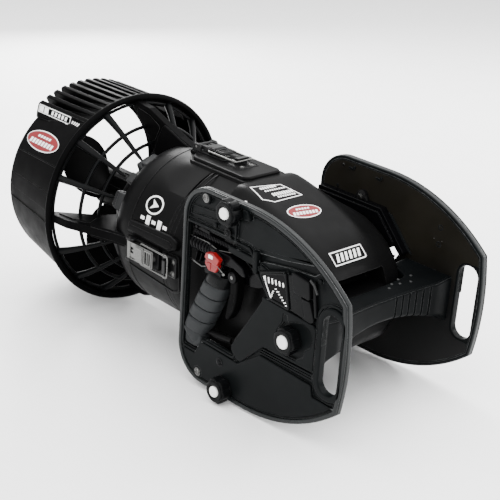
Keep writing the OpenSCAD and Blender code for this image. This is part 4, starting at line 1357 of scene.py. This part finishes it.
def make_catch(side):
    x, z = CATCH_PIVOT
    shapes = [block([(x - 16, z - 6), (x - 13, z + 8), (x + 6, z + 6), (x + 12, z - 2), (x + 6, z - 13),
                     (x - 8, z - 14)], 2.2, 138.3, 144.5, 1.2),
              block([(x - 14, z + 4), (x - 11, z + 12), (x + 2, z + 15), (x + 16, z + 9), (x + 11, z - 1),
                     (x - 4, z + 1)], 1.8, 140, 147.8, 1.2),
              block([(x - 13, z - 3), (x - 3, z - 1), (x - 3, z - 12), (x - 7, z - 13)], 1.5,
                    142, 145.6, 0.8),
              prism(circle(CATCH_PIVOT, 4, 32), 125, 140, 0.4)]
    body = "safety_catch_" + side
    piece(f"catch_{side}_cam", on_side(shapes, side), body, "red_plastic", red_plastic, 35, (body,))
    # A white patch on the catch's top: a painted highlight.
    glint_patch = prism(rectangle((x - 5, z + 6.5), (x + 3.5, z + 11.5), 1.2), 147.2, 148.3, 0.4)
    piece(f"catch_{side}_painted_highlight", on_side([glint_patch], side), body, "red_plastic", white_plastic, 50)
    wire = tube(bent([(x + 8, -143.5, z - 1), (x + 15, -144.5, z - 4), (x + 23, -144, z - 9)], 4), 0.8, 10)
    ball = revolved([(x + 20.4, 0.05), (x + 20.9, 1.5), (x + 22.2, 2.3), (x + 23.8, 2.3), (x + 25.1, 1.5),
                     (x + 25.6, 0.05)], 24, (-144, z - 9))
    piece(f"catch_{side}_wire", on_side([wire, ball], side), body, "stainless", stainless, 60)


for side in SIDES:
    make_housing(side)
    make_trigger(side)
    make_catch(side)


# ---------- Battery gauge ----------
def make_gauge():
    """The gauge's bezel and window, on the right plate."""
    corners = [(-151, 66), (-131, 35), (-92, 33), (-103, 82)]
    outline = rounded(corners, 2.5)
    pane = rounded(grown(corners, -3.4), 1.5)
    bezel = [prism(outline, 135.1, 141.8, 1.0, [pane]), prism(grown(outline, 1.6), 134.6, 137.6, 0.6),
             rib((-149, 67), (-104, 83), 2.2, 2.2, 0.8, 139, 143, 0.8)]
    piece("gauge_bezel", bezel, *HOUSING, 35, ("gauge_housing",))
    glass = block(grown(corners, -3.2), 1.5, 136, 140.2, 0.4)
    piece("gauge_pane", [glass], "hull", "clear_window", clear_window, 35, ("gauge_window",))


def make_gauge_covers():
    """A blank panel beside the gauge, a screwed cover and the ledge under them."""
    covers = [block([(-100, 81, 3), (-90, 35, 2), (-66, 32, 3), (-74, 60, 3), (-78, 86, 4)], 3,
                    135.1, 140.6, 1.0),
              block([(-94, 88, 3), (-62, 84, 3), (-58, 60, 3), (-88, 62, 3)], 3, 135.1, 142.0, 1.2),
              block([(-76, 58, 3), (-60, 58, 3), (-50, 34, 4), (-56, 30, 3), (-70, 31, 3)], 3,
                    135, 140.0, 1.0),
              rib((-57, 86), (-49, 40), 5, 4, 1.5, 135, 139.2, 1.0)]
    piece("gauge_covers", covers, *HOUSING, 35, ("gauge_cover",))


def short_bar(place, along, width, radius):
    """A printed bar on the gauge's pane."""
    return rib(place, place + along, width, width, radius, 140.2, 140.8, 0.15)


def make_gauge_scale():
    """Rows of plain bars on the gauge's window, and the clip beside it."""
    slant = Vector((0.93, 0.36))
    bars = [short_bar(Vector((-139 + 6.6 * k, 56 + 1.0 * k)), Vector((-1.8, 8.5 - 0.6 * k)), 2.4, 0.5)
            for k in range(6)]
    bars.append(short_bar(Vector((-143.5, 63)), Vector((16.5, -25)), 1.8, 0.4))
    bars += [short_bar(Vector((-121 + 3.4 * k, 53 - 2.6 * k)), slant * (4.5 if k % 2 else 3.2), 1.5, 0.3)
             for k in range(7)]
    bars += [short_bar(Vector((-128 + 0.9 * k, 40.5 + 2.6 * k)), slant * 3, 1.3, 0.3) for k in range(4)]
    piece("gauge_scale", bars, "hull", "clear_window", white_print, 50)
    clip = bent([(-60, -141.6, 88), (-52, -142.2, 84), (-47, -141.2, 74)], 5)
    piece("gauge_clip", [tube(clip, 1.5, 12)], "hull", "stainless", grey_plastic, 50)


def make_switch_lid():
    """The grooved lid on the left plate."""
    lid = block([(-151, 66, 3), (-131, 35, 3), (-62, 33, 3), (-60, 84, 5), (-103, 84, 5)], 3,
                135.1, 140.8, 1.2)
    grooves = [rib((-120 + 12 * k, 44), (-112 + 12 * k, 74), 1.6, 1.6, 0.6, 140.6, 141.6, 0.4)
               for k in range(5)]
    piece("switch_lid_left", on_side([lid, *grooves], "left"), "hull", "housing_plastic", grey_plastic, 35,
          ("switch_cover_left",))


make_gauge()
make_gauge_covers()
make_gauge_scale()
make_switch_lid()

make_latch_mounts()
for name, angle in LATCHES.items():
    make_latch(name, angle)


# ---------- Cross handle ----------
def handle_section(y, groove=0.0):
    """A cross-section of the cross handle: [rear x, front x, bottom, top] with round corners."""
    front = min(-44.0, -57 + 375 - math.sqrt(375 ** 2 - y * y)) - groove
    inner, outer = 82.0, 100.0
    t = min(1.0, max(0.0, (abs(y) - inner) / (outer - inner)))
    rear = -93 - 36 * (3 * t * t - 2 * t ** 3)
    top = min(30.0, 22 + 900 - math.sqrt(900 ** 2 - y * y))
    flare = max(0.0, (abs(y) - 112) / 17)
    bottom = -11.5 - 385 + math.sqrt(385 ** 2 - y * y) - 8 * flare ** 2 + groove
    return rear, front, bottom, top


def handle_ring(y, groove, inset):
    rear, front, bottom, top = handle_section(y, groove)
    corners = [(rear + inset, bottom + inset, 8), (front - inset, bottom + inset, 7),
               (front - inset, top - inset, 4), (rear + inset, top - inset, 5)]
    return [(x, y, z) for x, z in rounded(corners, 5, 22.5)]


def make_handle():
    places = [(-128.9, 0, 1.2), (-127.6, 0, 0)]
    plain = (-122, -114, -106, *range(-101, -80, 4), *range(-70, 1, 10), 8, 16, 22)
    places += [(y, 0, 0) for y in plain]
    for k in range(6):
        y = 27 + 12 * k
        places += [(y - 1.8, 0, 0), (y - 1.0, 2.2, 0), (y + 1.0, 2.2, 0), (y + 1.8, 0, 0), (y + 6, 0, 0)]
    places += [(y, 0, 0) for y in (98, 106, 114, 122, 127.6)]
    places.append((128.9, 0, 1.2))
    body = loft([handle_ring(*place) for place in places])
    edge = []
    for k in range(41):
        y = -127 + 254 * k / 40
        _, front, _, top = handle_section(y)
        edge.append((front - 2.2, y, top - 0.2))
    lip = tube(edge, 1.5, 12)
    piece("handle_bar", [body, lip], "hull", "handle_plastic", handle_plastic, 33, ("cross_handle",))
    dots = []
    dome = ((0, 2.4), (0.7, 2.3), (1.2, 1.6), (1.4, 0.4))
    for place in ((-80, 38), (-86, 50), (-80, 60), (-90, 68), (-74, 76), (-86, 90)):
        base = handle_section(place[1])[3] - 0.3
        dots.append(loft([[(x, y, base + d) for x, y in circle(place, r, 20)] for d, r in dome]))
    piece("handle_dots", dots, "hull", "grey_plastic", grey_plastic, 50)


make_handle()


# ---------- Printed marks: plain shapes only ----------
def slanted_bar(place, width, height, slant=0.25):
    """A printed bar that leans to the right."""
    x, y = place
    lean = slant * height / 2
    return [(x - width / 2 - lean, y - height / 2), (x + width / 2 - lean, y - height / 2),
            (x + width / 2 + lean, y + height / 2), (x - width / 2 + lean, y + height / 2)]


def border(outline, width):
    """A closed outline drawn as a line: one four-sided stroke for each of its sides."""
    inner = grown(outline, -width)
    return [[outline[i - 1], outline[i], inner[i], inner[i - 1]] for i in range(len(outline))]


def bar_row(places, width, height, slant=0.25):
    return [slanted_bar(place, width, height, slant) for place in places]


def oval_sticker(name, target, origin, along, up, half_width, half_height, rows):
    """A red oval with a white edge and rows of small white bars."""
    where = (target, origin, along, up)
    stamp(name + "_edge", *where, [ellipse((0, 0), half_width, half_height)], white_print, 0.25)
    stamp(name + "_field", *where, [ellipse((0, 0), half_width - 1.8, half_height - 1.8)], red_print, 0.45)
    bars = []
    for y, count, width, height in rows:
        pitch = width * 1.45
        bars += bar_row([((i - (count - 1) / 2) * pitch, y) for i in range(count)], width, height)
    stamp(name + "_bars", *where, bars, white_print, 0.65)


def beside_axis(x, radius, degrees):
    """A place on a round surface, the part's length as the first direction, and round it as the second."""
    turn = math.radians(degrees)
    return on_axis(x, radius, degrees), (1, 0, 0), (0, math.sin(turn), -math.cos(turn))


def make_hull_marks():
    # Rear hull: a ring with an arrowhead in it, over a row of bars
    arrowhead = [(-7, -7.5), (9.5, 0), (-7, 7.5), (-2.5, 0)]
    emblem = [*border(ellipse((0, 0), 18.5, 14.5), 2.6), arrowhead]
    stamp("rear_emblem", rear_hull, *beside_axis(-412, HULL_RADIUS, 147.7), emblem, white_print)
    shapes = [slanted_bar((-26 + 13 * k, 0), 8.6, 13 if k % 2 else 5.0, -0.1) for k in range(5)]
    stamp("rear_bars", rear_hull, *beside_axis(-400, HULL_RADIUS, 158.6), shapes, white_print)
    # Front hull: a notched label with rows of bars, a red oval and a framed row of bars at the nose
    shapes = border([(-36, -8), (-23, -20), (31, -20), (18, 14), (-31, 25)], 1.4)
    rows = ((14, -19, 7, 5.0), (6, -17, 9, 3.0), (-5, -12, 9, 6.5), (-12, -8, 8, 3.2))
    for y, first, count, height in rows:
        places = [(first + 4.2 * i, y + 0.6 - 0.22 * i) for i in range(count)]
        shapes += bar_row(places, 2.8, height, 0.1)
    shapes.append(circle((-53, 8), 3.8, 24))
    stamp("hull_label", front_hull, (-255, -15, 118), (0, 1, 0), (-1, 0, 0.2), shapes, white_print)
    oval_sticker("hull_oval", front_hull, (-206, -9, 104), (8, 58, 0), (-1, 0.14, 0.4), 29, 13.5,
                 ((5, 5, 3.4, 3.0), (-3.5, 8, 3.8, 6.0)))
    frame_line = rounded([(-31, -10.5, 0), (31, -10.5, 4), (31, 10.5, 0), (-31, 10.5, 0)], 4, 30)
    shapes = border(frame_line, 1.7) + bar_row([(-20 + 8.2 * k, 0) for k in range(6)], 4.6, 12, 0.35)
    stamp("nose_frame", front_hull, (-128, 1, 63), (0, 1, 0), (-0.74, 0, 0.67), shapes, white_print)


def make_duct_marks():
    """A framed label on the step under the ridges, small bars beside it, and a red oval."""
    shapes = border([(-45, -6.4), (45, -6.4), (45, 6.4), (-45, 6.4)], 1.2)
    shapes += [[(x, -4.6), (x + 11, -4.6), (x + 11, 4.6), (x, 4.6)] for x in (-42.5, -28.5)]
    shapes += bar_row([(-5 + 9.5 * k, 0) for k in range(5)], 5.2, 6.6, 0.2)
    shapes += bar_row([(52 + 6.4 * k, -0.4) for k in range(4)], 3.2, 4.4, 0.1)
    stamp("duct_label", duct, (-691, -97, 133), (1, 0, 0), (0, 0.275, 0.96), shapes, white_print)
    place, _, up = beside_axis(-678, duct_outer(-679) + 1.6, 143)
    oval_sticker("duct_oval", duct, place, (1, 0, -0.02), up, 54, 17,
                 ((6.5, 5, 6.4, 4.0), (-4, 8, 7.0, 8.0)))


make_hull_marks()
make_duct_marks()
